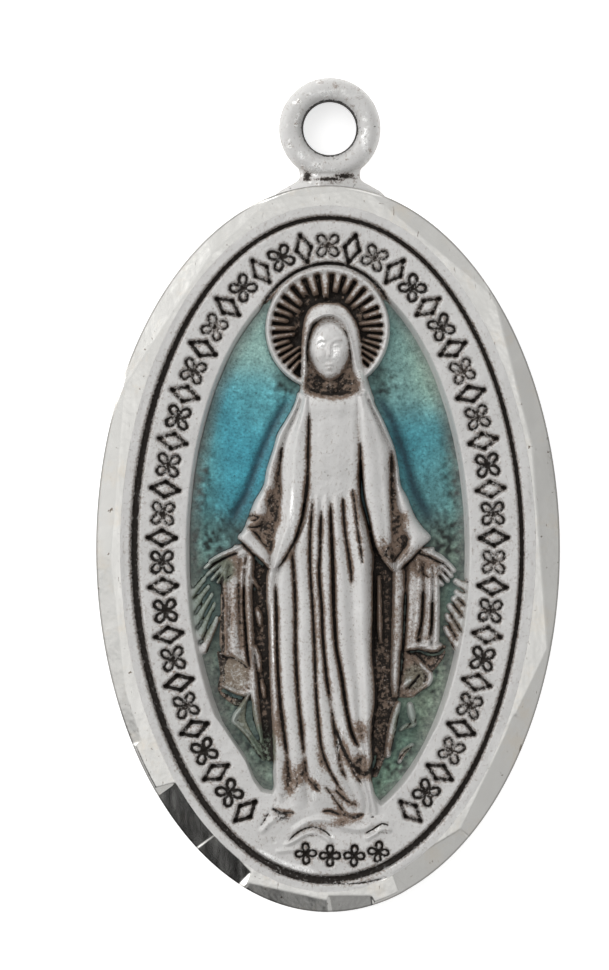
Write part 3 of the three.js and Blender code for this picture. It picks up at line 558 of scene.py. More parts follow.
# Grooves of the drapery: half width, depth, patina and the way of each
grooves = [
    (5, 12, 0.75, [
        (-70, 5), (-66, -40), (-62, -100), (-61, -200), (-58, -260), (-54, -310), (-50, -350), (-45, -402),
    ]),
    (4, 12, 0.9, [
        (-28, 112), (-31, 70), (-34, 20), (-34, -30), (-29, -110), (-26, -170), (-24, -230), (-22, -280),
        (-18, -330), (-12, -380), (0, -415), (15, -441), (30, -463), (57, -474),
    ]),
    (4.4, 14, 0.95, [
        (-12, 82), (-14, 40), (-15, 0), (-17, -45), (-12, -110), (-10, -165), (-5, -220), (1, -270), (8, -310),
    ]),
    (4.5, 10, 0.6, [(6, -300), (12, -345), (18, -380), (28, -425), (38, -441)]),
    (5, 20, 1.0, [
        (5, 104, 0.5), (5, 60, 0.8), (7, 20), (9, -30, 1.2), (10, -80, 1.3), (12, -140, 1.1), (16, -190),
        (24, -230), (32, -285), (38, -320), (46, -352), (60, -378), (71, -391, 0.6),
    ]),
    (4.5, 14, 0.92, [(28, 104, 0.8), (30, 60), (34, 20), (39, -10), (43, -40), (46, -74, 0.6)]),
    (4.2, 14, 0.9, [(45, 118), (50, 90), (54, 55), (58, 25), (62, 0), (66, -34, 0.6)]),
    (5, 16, 0.98, [
        (61, 215, 0.4), (62, 170, 0.7), (61, 130, 1.3), (65, 100), (70, 75), (78, 45), (83, 20), (87, 0),
        (94, -22),
    ]),
    (4.2, 14, 0.98, [
        (-37, 268, 0.6), (-38, 200), (-39, 150), (-41, 115, 1.6), (-47, 75), (-53, 45), (-62, 20), (-72, 0),
        (-84, -22), (-98, -42),
    ]),
    (5, 12, 0.8, [
        (-100, -56), (-98, -120), (-97, -190), (-94, -250), (-90, -300, 1.3), (-84, -350, 1.2), (-76, -405),
    ]),
    (5, 10, 0.8, [
        (88, -60), (89, -110), (86, -150), (86, -210), (91, -262), (91, -300), (86, -322), (82, -345),
    ]),
    (7, 16, 0.95, [
        (13, -335, 0.5), (22, -362, 0.8), (36, -395), (52, -416, 1.3), (72, -428, 1.3), (86, -412, 1.1),
        (94, -385),
    ]),
    (4, 8, 0.7, [(40, -405, 0.6), (52, -430), (66, -448)]),
    (5, 8, 0.45, [(-44, -395), (-40, -430), (-28, -450), (-15, -463)]),
    (5, 8, 0.5, [(-78, -395), (-74, -430), (-66, -450)]),
    (3.2, 10, 0.9, [(-8, -448), (5, -465), (20, -487), (32, -503), (45, -510), (60, -506), (72, -504)]),
    (4.4, 10, 1.1, [(-108, -492, 0.7), (-98, -499), (-88, -504, 1.3), (-76, -502), (-62, -503, 0.6)]),
    (3.6, 9, 1.1, [
        (-12, -500), (5, -499, 1.2), (20, -505), (34, -507), (50, -512, 1.2), (66, -506), (74, -505, 0.6),
    ]),
    (2.8, 8, 1.05, [(-76, -557), (-66, -546), (-48, -534), (-28, -529), (-8, -536), (8, -549, 0.7)]),
    (2.8, 8, 1.05, [(70, -542, 0.7), (88, -532), (103, -523), (118, -527)]),
    (3, 7, 1.0, [(79, -512), (90, -508)]),
    (3.2, 6, 0.7, [(-130, -530, 0.6), (-119, -514), (-111, -500)]),
    (3, 6, 0.8, [(-90, -470), (-80, -471)]),
    (2.6, 5, 0.6, [(-110, -548), (-104, -553), (-100, -562)]),
    (4, 8, 0.85, [(-39, -436, 0.6), (-28, -449), (-13, -464, 0.6)]),
    (4.5, 9, 0.9, [(12, -456, 0.6), (30, -474), (44, -484, 1.2), (57, -487, 0.7)]),
    (3.2, 7, 0.7, [(-66, -418, 0.6), (-58, -440), (-62, -462, 0.6)]),
    # cloak on the picture's left
    (4, 6, 0.55, [(-88, 192, 0.4), (-93, 150, 0.8), (-98, 110)]),
    (3.2, 14, 1.0, [(-172, 56), (-152, 61), (-140, 63), (-132, 59), (-139, 54), (-150, 55)], 0.2),
    (3.4, 14, 1.0, [(-157, 42), (-140, 41), (-122, 45)], 0.3),
    (3.4, 12, 0.9, [(-150, 38), (-136, 28), (-122, 8), (-109, -2)], 0.3),
    (3.4, 16, 1.0, [(-182, 22), (-168, 14), (-150, -4), (-131, -24), (-112, -42)], 0.3),
    # cloak on its right
    (3.2, 8, 0.9, [(120, 194, 0.5), (121, 150), (121, 110), (124, 66)]),
    (3.4, 10, 0.95, [(99, 8), (108, -8), (119, -24)], 0.3),
    (3.0, 10, 0.95, [(152, 28), (148, 8), (134, -12), (122, -28)], 0.3),
    (2.4, 7, 0.7, [(162, 6), (148, -12), (134, -28)], 0.3),
    (3.2, 12, 0.9, [(192, 12), (176, -3), (160, -20), (144, -36), (132, -46)], 0.3),
    (3.0, 14, 1.0, [(176, 106), (162, 103), (150, 103)], 0.3),
    # hanging ends of the cloak
    (5, 17, 1.15, [
        (-199, -44), (-203, -74, 1.3), (-199, -100, 0.8), (-201, -140, 1.2), (-199, -172), (-200, -204, 1.4),
    ]),
    (3.4, 6, 0.45, [(-186, -70, 0.5), (-187, -130), (-189, -186, 0.6)]),
    (8, 6, 0.6, [(-171, -60, 0.5), (-168, -110), (-164, -150), (-160, -195)]),
    (4, 16, 0.95, [(-160, -66), (-160, -110), (-157, -150), (-153, -195), (-148, -232)]),
    (3, 14, 1.0, [(-204, -205), (-181, -208), (-166, -217), (-151, -229)]),
    (4, 16, 1.0, [(-203, -267), (-182, -278), (-160, -284)]),
    (6, 20, 1.0, [(-147, -286), (-150, -318, 1.4), (-140, -346, 1.2), (-127, -366, 0.8)]),
    (4, 10, 0.9, [(-181, -338), (-165, -350), (-150, -366), (-136, -388), (-122, -405)]),
    (4, 16, 1.0, [(148, -76), (147, -120, 1.4), (145, -160), (141, -210), (138, -252)]),
    (4, 14, 0.8, [(181, -78), (176, -148), (168, -174)]),
    (4, 12, 0.9, [(198, -98), (196, -150), (190, -176)]),
    (4.5, 16, 1.0, [(165, -176), (178, -172)], 0.3),
    (5, 20, 1.0, [(150, -196), (175, -195), (192, -202), (212, -200), (226, -188)]),
    (4, 16, 1.0, [(151, -270), (163, -254), (177, -238)]),
    (4, 14, 1.0, [(163, -284), (178, -271), (195, -262)]),
    (3.5, 12, 1.0, [(136, -310), (128, -350), (118, -393)]),
    (3, 8, 0.9, [(168, -288), (171, -308), (165, -334)]),
    (3, 8, 0.8, [(128, -362), (144, -346), (160, -331)]),
    (3, 8, 0.9, [(133, -404), (146, -386), (163, -376)]),
]
# Raised rims and small folds: half width, height and way
rims = [
    (14, 2.5, [(-140, -576, 0.6), (-112, -593), (-85, -606), (-55, -614), (-20, -621, 0.6)]),
    (7, 13, [(-84, -564), (-64, -555), (-46, -544), (-27, -539), (-8, -547), (10, -561)]),
    (6, 11, [(70, -553), (90, -542), (105, -533), (122, -537)]),
    (9, 10, [(-70, -538), (-36, -518), (0, -515), (36, -530), (60, -534), (88, -522)]),
    (8, 7, [(-128, -540), (-112, -522), (-98, -512)]),
    (7, 7, [(-100, -576), (-60, -572), (-20, -570)]),
    (5, 8, [(26, -318), (38, -350), (58, -381), (76, -392)]),
    (4, 6, [(84, 18), (92, 0), (106, -22), (122, -36)]),
]
# Light edges of the hanging ends: half width, foot, top and way
lightEdges = [
    (4.5, 20, 56, [(-158, -34, 0.6), (-146, -54), (-133, -74, 0.6)]),
    (5, 22, 50, [(-203, -259, 0.6), (-186, -267), (-164, -277), (-150, -272)]),
    (5, 18, 42, [(-150, -276, 0.6), (-163, -300), (-178, -322), (-180, -328, 0.8)]),
    (5, 18, 40, [(-180, -329, 0.8), (-165, -343), (-150, -361), (-136, -384), (-123, -402, 0.6)]),
    (6, 20, 58, [(-147, -236, 0.8), (-142, -270), (-139, -300), (-132, -335), (-126, -368, 0.5)]),
    (6, 20, 56, [(-139, -186, 0.6), (-133, -206), (-130, -232, 0.7)]),
    (6, 20, 52, [(-135, -116, 0.8), (-131, -130, 1.2), (-129, -144, 0.7)]),
    (5, 20, 50, [(-126, -252, 0.7), (-123, -268, 1.1), (-121, -282, 0.6)]),
    (5.5, 20, 54, [(165, -206, 0.6), (180, -224), (195, -243), (189, -258), (176, -267), (162, -278, 0.6)]),
    (7.5, 20, 52, [(141, -264, 0.7), (152, -253), (167, -246, 0.7)]),
    (8.5, 20, 52, [(133, -296, 0.7), (127, -320), (120, -354), (113, -392, 0.8)]),
    (8, 18, 42, [(156, -298, 0.8), (159, -314), (165, -333, 0.6)]),
    (5.5, 18, 36, [(138, -346, 0.6), (150, -338), (162, -337, 0.7)]),
    (6, 18, 38, [(136, -406, 0.6), (144, -388), (160, -374, 0.7)]),
    (6, 30, 66, [(150, -189, 0.7), (166, -184), (184, -185), (200, -191), (214, -184, 0.7)]),
    (4.4, 22, 66, [(97, -54, 0.7), (98, -110), (99, -160), (100, -178, 0.5)]),
]


def strikeDrapery():
    for bed in (leftBed, rightBed, leftShade, rightShade):
        sheet(bed, "ss", [26, 26], dark=0.92)
    strikeRays()
    sheet(veil, "srrrs", veilHeights)
    sheet(leftLeaf, "srs", [14, 28, 12], dark=0.35)
    sheet(leftLump, "srrs", [26, 38, 46, 40], dark=0.34)
    sheet(leftHanging, "srsrsrsrs", leftHangingHeights, dark=0.12)
    sheet(rightLump, "srrs", [30, 36, 34, 22], dark=0.5)
    sheet(rightStrip, "srs", [24, 64, 24])
    sheet(rightHanging, "srsssrrsrrsrs", rightHangingHeights, dark=0.12)
    sheet(skirt, "srsrsrsrsrsrrrs", skirtHeights)
    sheet(bodice, "srrrrs", bodiceHeights)
    strikeHands()
    sheet(leftCloak, "srssrrs", leftCloakHeights)
    sheet(rightCloak, "srrssrs", rightCloakHeights)
    for shade in sleeveShades:
        smudge(*shade)
    for edge in lightEdges:
        layLine(*edge)
    for half, height, way in rims:
        raiseLine(half, height, way)
    for half, depth, dark, way, *taper in grooves:
        carve(half, depth, dark, way, *(taper or [0.12]))


leftRays = [
    [(-240, -50), (-259, -76)], [(-231, -65), (-259, -99)], [(-225, -80), (-254, -126)],
    [(-218, -95), (-247, -151)], [(-215, -115), (-241, -181)], [(-208, -150), (-233, -202)],
]
rightRays = [
    [(242, -50), (269, -66)], [(246, -74), (265, -86)], [(245, -92), (264, -112)], [(235, -100), (260, -134)],
    [(229, -118), (256, -162)], [(226, -138), (247, -176)], [(224, -166), (243, -194)],
]


def strikeRays():
    # short rays from the hands: light ridges with dark lines between them
    for rays in (leftRays, rightRays):
        for a, b in zip(rays, rays[1:]):
            middle = [((p[0] + q[0]) / 2, (p[1] + q[1]) / 2) for p, q in zip(a, b)]
            layLine(9.5, 20, 34, [(*middle[0], 0.7), (*middle[1], 1.1)])
        for ray in rays:
            carve(3.8, 13, 1.1, [(*ray[0], 1.0), (*ray[1], 0.75)], 0.1)


leftFingers = [
    [(-208, -19), (-222, -27), (-234, -37)], [(-206, -28), (-219, -39), (-230, -50)],
    [(-201, -35), (-212, -48), (-221, -59)], [(-194, -41), (-202, -53), (-209, -64)],
]
rightFingers = [
    [(216, -20), (230, -31), (240, -42)], [(213, -29), (226, -41), (235, -52)],
    [(207, -37), (219, -50), (228, -61)], [(200, -44), (209, -57), (217, -68)],
]


def strikeHands():
    for side, palmAt, fingers in ((-1, (-190, -25), leftFingers), (1, (203, -27), rightFingers)):
        layLine(15, 10, 58, [(side * 150, 2), (side * 172, -12), palmAt])
        cap(*palmAt, 27, 21, 8, 54, -side * 30)
        smudge(side * 176, -34, 22, 26, 0.55)
        smudge(*palmAt, 20, 16, 0.3)
        for way in fingers:
            layLine(6.2, 12, 50, [(*p, 1.0 - 0.12 * i) for i, p in enumerate(way)])
        for way in fingers[1:]:
            carve(1.8, 9, 0.8, [(x + side * 1, y + 5) for x, y in way])
        layLine(5, 20, 72, [(side * 163, 6, 0.7), (side * 186, -5), (side * 206, -14), (side * 224, -24, 0.7)])
        carve(3.2, 14, 1.0, [(side * 170, -8), (side * 190, -15), (side * 208, -24), (side * 224, -31)])
        carve(2.4, 10, 0.8, [(side * 178, -46), (side * 190, -54), (side * 200, -62)])


# Head
faceLook = {
    "middle": (3, 377), "half": (38, 58), "foot": 64, "top": 111,
    "eyes": 9, "nose": -18, "mouth": -31, "chin": -48,  # heights from the middle
}
veilLine = [
    (-44, 300), (-45, 340), (-44, 380), (-38, 412), (-26, 436), (0, 446), (24, 438), (38, 412), (47, 380),
    (54, 345), (66, 312), (78, 290),
]


def strikeHead():
    sheet(faceOpening, "srs", [66, 58, 66], dark=0.25, sunk=True)
    x, y = faceLook["middle"]
    wide, high = faceLook["half"]
    cap(x + 2, 312, 20, 34, 30, 72)  # neck
    layLine(7, 60, 99, [(-46, 299), (-24, 290), (5, 286), (36, 288), (68, 295)])  # collar
    # darker under the chin and round the neck: patina, and painted shade under the chin
    for side in (-1, 1):
        smudge(x + 4 + side * 24, 314, 36, 30, 1.0)
    smudge(x + 6, 302, 56, 20, 1.0)
    smudge(x + 4, 324, 30, 12, 0.6)
    cap(x, y + 8, 45, 60, 52, 99)  # hair
    smudge(x - 30, y - 34, 12, 16, 0.4)
    smudge(x + 32, y - 34, 12, 16, 0.4)
    # the egg of the face, fuller above than at the chin
    near = window(x - wide - 8, y - high, x + wide + 8, y + high)
    px, py = gridX[near] - x, (gridY[near] - y) / high
    r = np.hypot(px / (wide * (1 + 0.13 * np.clip(py, -1, 0.5))), py)
    body = faceLook["foot"] + (faceLook["top"] - faceLook["foot"]) * np.sqrt(np.clip(1 - r**2.8, 0, 1))
    layOver(near, body, (r < 1) & (body > die[near]), 0.25 * smoothStep((r - 0.86) / 0.14))
    # brow, eyes, nose, mouth and chin
    eyes, nose, mouth = y + faceLook["eyes"], y + faceLook["nose"], y + faceLook["mouth"]
    for side in (-1, 1):
        dome(x + side * 14.5, eyes, 12.5, 9, -8)
        brow = [(25, 8), (15, 12), (5, 8)]
        lid = [(22.5, -1), (14.5, -4.4), (7.5, -1)]
        raiseLine(4.2, 3, [(x + side * u, eyes + v) for u, v in brow])
        dome(x + side * 14.5, eyes, 8.6, 5.6, 8)
        carve(1.5, 3, 0.6, [(x + side * u, eyes + v) for u, v in lid], 0.3)
        dome(x + side * 20, eyes - 18, 17, 17, 5)
        dome(x + side * 4.6, nose + 2, 4.4, 3.8, 3.5)
    raiseLine(6, 11, [(x, eyes + 5, 0.75), (x, eyes - 10, 0.85), (x, nose + 3, 1.15)], 0.05)
    carve(1.6, 3, 0.55, [(x - 6, nose - 2), (x, nose - 3), (x + 6, nose - 2)], 0.4)
    dome(x, mouth + 3, 10.5, 3.8, 5)
    dome(x, mouth - 4, 8.5, 4.2, 6)
    lips = [(-10, 0), (-4, -0.3), (0, -1), (4, -0.3), (10, 0)]
    carve(1.4, 3.5, 0.65, [(x + u, mouth + v) for u, v in lips], 0.3)
    dome(x, mouth - 10, 9, 3.2, -2.5)
    dome(x, y + faceLook["chin"] + 3, 12, 8, 5)
    # parted hair under the veil
    for side in (-1, 1):
        hair = [(0, 51), (16, 44), (29, 28), (36, 6), (38, -14)]
        lock = [(3, 54), (18, 46), (31, 29), (38, 8)]
        raiseLine(5.5, 6, [(x + side * u, y + v) for u, v in hair])
        carve(1.3, 2.5, 0.35, [(x + side * u, y + v) for u, v in lock])
    # the veil's edge round the face
    raiseLine(5, 9, veilLine)
    carve(2.6, 8, 0.85, [(-39, 345), (-40, 380), (-35, 405), (-24, 428), (-12, 436)], 0.2)
    carve(2.2, 6, 0.5, [(14, 424), (28, 418), (38, 398), (42, 372), (44, 350)], 0.3)
    carve(2, 4, 0.3, [(-20, 446), (0, 441), (22, 446)], 0.4)


# Swellings of the ground: place, reach each way and rise
groundSwells = [(-60, -500, 60, 26, 5), (40, -520, 90, 22, 6), (-10, -575, 85, 42, 5)]
# Patina of the ground and the lowest folds: place, reach each way, how dark and its turn
groundShades = [
    (-88, -512, 20, 9, 0.85), (26, -520, 22, 9, 0.7), (-104, -550, 5, 10, 0.45), (-6, -527, 60, 7, 0.35),
    (-132, -560, 8, 16, 0.35), (60, -520, 30, 7, 0.4), (40, -560, 30, 6, 0.25), (102, -540, 18, 6, 0.4),
    (-30, -543, 26, 6, 0.4), (-50, -424, 11, 26, 0.62), (-77, -428, 10, 38, 0.7), (-70, -458, 10, 14, 0.5),
    (50, -485, 13, 9, 0.45), (86, -425, 12, 20, 0.75), (60, -404, 17, 18, 0.8), (26, -376, 12, 30, 0.6, 25),
    (60, -346, 20, 26, 0.5), (-25, -450, 10, 16, 0.7, 40), (-120, -508, 5, 14, 0.5, -30),
    (-95, -340, 7, 44, 0.5), (-50, -345, 6, 40, 0.5), (-14, -400, 6, 34, 0.55, 15),
]


def strikeGround():
    for swell in groundSwells:
        dome(*swell)
    for shade in groundShades:
        smudge(*shade)


# Polished places, whose near-white colour is also a painted highlight: across, along, reach each way and turn
polishedHighlightPlaces = [
    (110, -604, 30, 6, -14), (2, -545, 16, 4, 20), (-26, -470, 5, 12, 0), (-20, -430, 4, 18, 0),
    (14, 372, 12, 20, 0), (-14, 392, 10, 14, 0), (60, 330, 8, 14, 0), (-48, 340, 5, 30, 0),
    (90, -534, 14, 4, -20), (-68, 60, 5, 70, 0), (20, -372, 5, 40, 12),
]
# Polished edges, whose near-white colour is also a painted highlight: half width and way
polishedHighlightWays = [
    (13, [(-142, -571, 0.6), (-112, -590), (-85, -602), (-55, -611), (-20, -618, 0.7)]),
    (4, [(0, -620, 0.6), (40, -619), (80, -611, 0.6)]),
    (3.5, [(-98, 496, 0.6), (-60, 527), (-20, 541), (25, 541, 0.6)]),
    (3.5, [(-44, 340, 0.6), (-42, 385), (-34, 418), (-12, 442, 0.6)]),
    (3, [(-104, -60, 0.6), (-106, -150), (-103, -240, 0.6)]),
]


def strikePolishAndHighlights():
    # painted highlights along polished edges and on polished places
    for half, way in polishedHighlightWays:
        near, mark = trace(way, half, 0.2)
        polishAndPaintedHighlight[near] = np.maximum(polishAndPaintedHighlight[near], smoothStep(1.6 * mark))
    for x, y, wide, high, turn in polishedHighlightPlaces:
        near, r = patchAt(x, y, wide, high, -turn)
        polishAndPaintedHighlight[near] = np.maximum(polishAndPaintedHighlight[near], smoothStep(1.3 * (1 - r)))


# Thin enamel that runs over the hands, the rays and the lowest folds: place, reach each way and how much
smears = [
    (-235, -100, 34, 90, 0.65), (-205, -40, 34, 34, 0.55), (-178, -240, 34, 44, 0.15),
    (-160, -330, 34, 60, 0.5), (-128, -380, 34, 60, 0.7), (250, -100, 24, 80, 0.12), (150, -340, 34, 60, 0.6),
    (165, -245, 26, 30, 0.3),
]


def strikeSmears():
    for x, y, wide, high, much in smears:
        near, r = patchAt(x, y, wide, high)
        smear[near] = np.maximum(smear[near], much * smoothStep(1.4 * (1 - r)))


strikePlate()
strikeRim()
strikeHalo()
strikeDrapery()
strikeBand()
strikeHead()
strikeGround()
strikeSmears()
strikePolishAndHighlights()


def unevenness(radius):
    # random bumps of about one unit, softened over a radius
    bumps = blur(chance.normal(size=die.shape), radius)
    return bumps / bumps.std()


# Blurred a little, as struck metal is, with grit and worn places where the patina is
die = blur(die, 1.3)
grit = unevenness(2.1)
worm = unevenness(3.2)
inField = smoothStep(0.5 - ovalGap("field") / 14)
sooty = blur(soot, 3) * (0.25 + 0.75 * inField) * (ovalGap("groove") < 12)
chip = unevenness(1.6)
die += 1.7 * grit * sooty
soot = np.clip(soot - 0.2 * np.abs(worm) * sooty + 0.14 * grit * smoothStep(2 * sooty), 0, 1.1)
soot *= 1 - 0.85 * smoothStep((chip - 1.75) / 0.4) * inField
smoothRim = 1 - 0.8 * smoothStep((ovalGap("groove") - 18) / 6)
for radius, much in ((2.0, 0.16), (7, 0.3), (24, 0.9)):
    die += much * unevenness(radius) * smoothRim
# How deep each place lies under the mean of its surroundings, near and wide, and the stain round patina
hollow = np.clip((blur(die, 5) - die) / 9, 0, 1)
broad = np.clip((blur(die, 16) - die) / 26, 0, 1)
haze = np.clip(2.4 * blur(soot, 4.5) + 0.95 * blur(soot, 13), 0, 1) * (0.42 + 0.58 * inField)
offWall = 1 - np.exp(-(((ovalGap("field") + 8) / 18) ** 4))  # the band's inner wall stays clean
hollow, broad = hollow * offWall, broad * offWall
slopeY, slopeX = np.gradient(die * heightUnit, cell * unit)
print("die struck")


def sample(field, x, y):
    # a raster's value at places in millimetres
    fx = np.clip((x / unit + reach[0]) / cell, 0, len(across) - 1.001)
    fy = np.clip((y / unit + reach[1]) / cell, 0, len(along) - 1.001)
    i, j = fx.astype(int), fy.astype(int)
    s, t = fx - i, fy - j
    low = field[j, i] * (1 - s) + field[j, i + 1] * s
    high = field[j + 1, i] * (1 - s) + field[j + 1, i + 1] * s
    return low * (1 - t) + high * t


def fieldDisc(u, v, oval):
    # a square spread over an oval
    return oval[0] * u * np.sqrt(1 - v * v / 2), oval[1] * v * np.sqrt(1 - u * u / 2)


# Helpers for the pieces
def alone(obj):
    bpy.ops.object.select_all(action="DESELECT")
    obj.select_set(True)
    bpy.context.view_layer.objects.active = obj


def places(mesh):
    co = np.empty(len(mesh.vertices) * 3)
    mesh.vertices.foreach_get("co", co)
    return co.reshape(-1, 3)


def keep(mesh, co):
    mesh.vertices.foreach_set("co", np.ascontiguousarray(co, dtype=np.float64).ravel())
    mesh.update()


def addValues(mesh, name, values):
    layer = mesh.attributes.new(name, "FLOAT", "POINT")
    layer.data.foreach_set("value", np.ascontiguousarray(values, dtype=np.float32))


def addColours(mesh, name, colours):
    layer = mesh.attributes.new(name, "FLOAT_COLOR", "POINT")
    rgba = np.hstack([colours, np.ones((len(colours), 1))]).astype(np.float32)
    layer.data.foreach_set("color", rgba.ravel())


def editMode(kind):
    # edit mode with nothing selected
    bpy.ops.object.mode_set(mode="EDIT")
    bpy.ops.mesh.select_mode(type=kind)
    bpy.ops.mesh.select_all(action="DESELECT")


def selectOpenEdges():
    bpy.ops.mesh.select_non_manifold(
        extend=False, use_wire=False, use_multi_face=False, use_non_contiguous=False, use_verts=False
    )


def faceOutwards():
    # normals mended, and back to object mode
    bpy.ops.mesh.select_all(action="SELECT")
    bpy.ops.mesh.normals_make_consistent(inside=False)
    bpy.ops.object.mode_set(mode="OBJECT")


def struckTop(x, y):
    # height of the struck metal's top, in millimetres
    return fieldFloor + sample(die, x, y) * heightUnit


def flatGrid(name, columns, rows):
    # a grid primitive, two units wide and high
    bpy.ops.object.select_all(action="DESELECT")
    bpy.ops.mesh.primitive_grid_add(x_subdivisions=columns, y_subdivisions=rows, size=2, location=(0, 0, 0))
    piece = bpy.context.object
    piece.name = piece.data.name = name
    return piece


def closeBelow(piece, base, ring=False):
    # walls from the open edges down to a flat underside
    alone(piece)
    editMode("EDGE")
    selectOpenEdges()
    bpy.ops.mesh.extrude_region_move(TRANSFORM_OT_translate={"value": (0, 0, 0)})
    bpy.ops.transform.resize(value=(1, 1, 0), center_override=(0, 0, base * mm))
    if ring:
        bpy.ops.mesh.bridge_edge_loops()
    else:
        bpy.ops.mesh.edge_face_add()
    faceOutwards()


def settle(piece, slot, material, *nodes):
    piece.data.materials.clear()
    piece.data.materials.append(material)
    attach(piece, rootBody)
    if nodes:
        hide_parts(*nodes)


def smoothTop(piece, struckPoints):
    # normals of the struck top from the die itself, and flat ones on the walls and underside
    mesh = piece.data
    mesh.polygons.foreach_set("use_smooth", [True] * len(mesh.polygons))
    co = places(mesh) / mm
    top = np.stack([-sample(slopeX, *co[:, :2].T), -sample(slopeY, *co[:, :2].T), np.ones(len(co))], axis=1)
    top /= np.linalg.norm(top, axis=1)[:, None]
    corner = np.empty(len(mesh.loops), dtype=np.int64)
    mesh.loops.foreach_get("vertex_index", corner)
    total = np.empty(len(mesh.polygons), dtype=np.int64)
    mesh.polygons.foreach_get("loop_total", total)
    flat = np.empty(len(mesh.polygons) * 3)
    mesh.polygons.foreach_get("normal", flat)
    face = np.repeat(np.arange(len(total)), total)
    points = np.zeros(len(mesh.vertices), dtype=bool)
    points[: len(struckPoints)] = struckPoints
    firsts = np.concatenate([[0], np.cumsum(total)[:-1]])
    struck = np.minimum.reduceat(points[corner].astype(int), firsts) > 0
    mesh.normals_split_custom_set(np.where(struck[face][:, None], top[corner], flat.reshape(-1, 3)[face]))


def dress(piece):
    # patina, hollows and the rest, as the piece's own attributes
    x, y = places(piece.data)[:, :2].T / mm
    for name, field in (
        ("patina", soot), ("hollow", hollow), ("broad", broad), ("haze", haze), ("smear", smear),
        ("polishAndPaintedHighlight", polishAndPaintedHighlight),
    ):
        addValues(piece.data, name, np.clip(sample(field, x, y), 0, 1))


# Materials
def newMaterial(name):
    material = bpy.data.materials.new(name)
    material.use_nodes = True
    tree = material.node_tree
    return material, tree.nodes, tree.links, tree.nodes["Principled BSDF"]


def ramp(nodes, links, value, *stops):
    # colours by value: each stop is its place and its colour, or its grey
    node = nodes.new("ShaderNodeValToRGB")
    node.color_ramp.interpolation = "EASE"
    while len(node.color_ramp.elements) < len(stops):
        node.color_ramp.elements.new(0.5)
    for element, (at, colour) in zip(node.color_ramp.elements, stops):
        element.position = at
        element.color = (*colour, 1) if isinstance(colour, tuple) else (colour, colour, colour, 1)
    links.new(value, node.inputs["Fac"])
    return node.outputs[0]


def noise(nodes, links, coords, scale, detail=4, rough=0.6, stretch=None):
    node = nodes.new("ShaderNodeTexNoise")
    node.inputs["Scale"].default_value = scale
    node.inputs["Detail"].default_value = detail
    node.inputs["Roughness"].default_value = rough
    if stretch:
        mapping = nodes.new("ShaderNodeMapping")
        mapping.inputs["Scale"].default_value = stretch[:3]
        mapping.inputs["Rotation"].default_value[2] = math.radians(stretch[3])
        links.new(coords, mapping.inputs["Vector"])
        coords = mapping.outputs["Vector"]
    links.new(coords, node.inputs["Vector"])
    return node.outputs["Fac"]


def maths(nodes, links, kind, a, b):
    node = nodes.new("ShaderNodeMath")
    node.operation = kind
    for socket, value in zip(node.inputs, (a, b)):
        if isinstance(value, (int, float)):
            socket.default_value = value
        else:
            links.new(value, socket)
    return node.outputs[0]


def bumpBy(nodes, links, shader, height, strength, distance):
    bump = nodes.new("ShaderNodeBump")
    bump.inputs["Strength"].default_value = strength
    bump.inputs["Distance"].default_value = distance
    links.new(height, bump.inputs["Height"])
    links.new(bump.outputs["Normal"], shader.inputs["Normal"])


def blendColours(nodes, links, share, a, b, kind="MIX"):
    node = nodes.new("ShaderNodeMix")
    node.data_type = "RGBA"
    node.blend_type = kind
    for name, value in (("Factor", share), ("A", a), ("B", b)):
        socket = [s for s in node.inputs if s.name == name and (s.type == "RGBA" or name == "Factor")][0]
        if isinstance(value, (int, float)):
            socket.default_value = value
        elif isinstance(value, tuple):
            socket.default_value = (*value, 1)
        else:
            links.new(value, socket)
    return [s for s in node.outputs if s.type == "RGBA"][0]


def attribute(nodes, name, output="Fac"):
    node = nodes.new("ShaderNodeAttribute")
    node.attribute_name = name
    return node.outputs[output]


# Satin silver: its colours, a near-white painted highlight among them, the scales of its noises in features a
# metre, and its finish
silverLook = {
    "clean": (0.76, 0.753, 0.742),
    "worn": (0.632, 0.624, 0.61),
    "patina": (0.018, 0.014, 0.011),
    "tarnish": (0.11, 0.083, 0.06),
    "stain": (0.215, 0.14, 0.092),
    "smear": (0.13, 0.21, 0.16),
    "paintedHighlight": (0.97, 0.965, 0.95),
    "cloudScale": 900, "grainScale": 15000, "speckScale": 10500,
    "pitScale": 5200, "scratchScale": 12000, "paintedGlintScale": 9500,
    "metallic": 0.62, "roughness": 0.56, "specular": 0.3, "bump": 0.8, "bumpDepth": 0.00001,
}


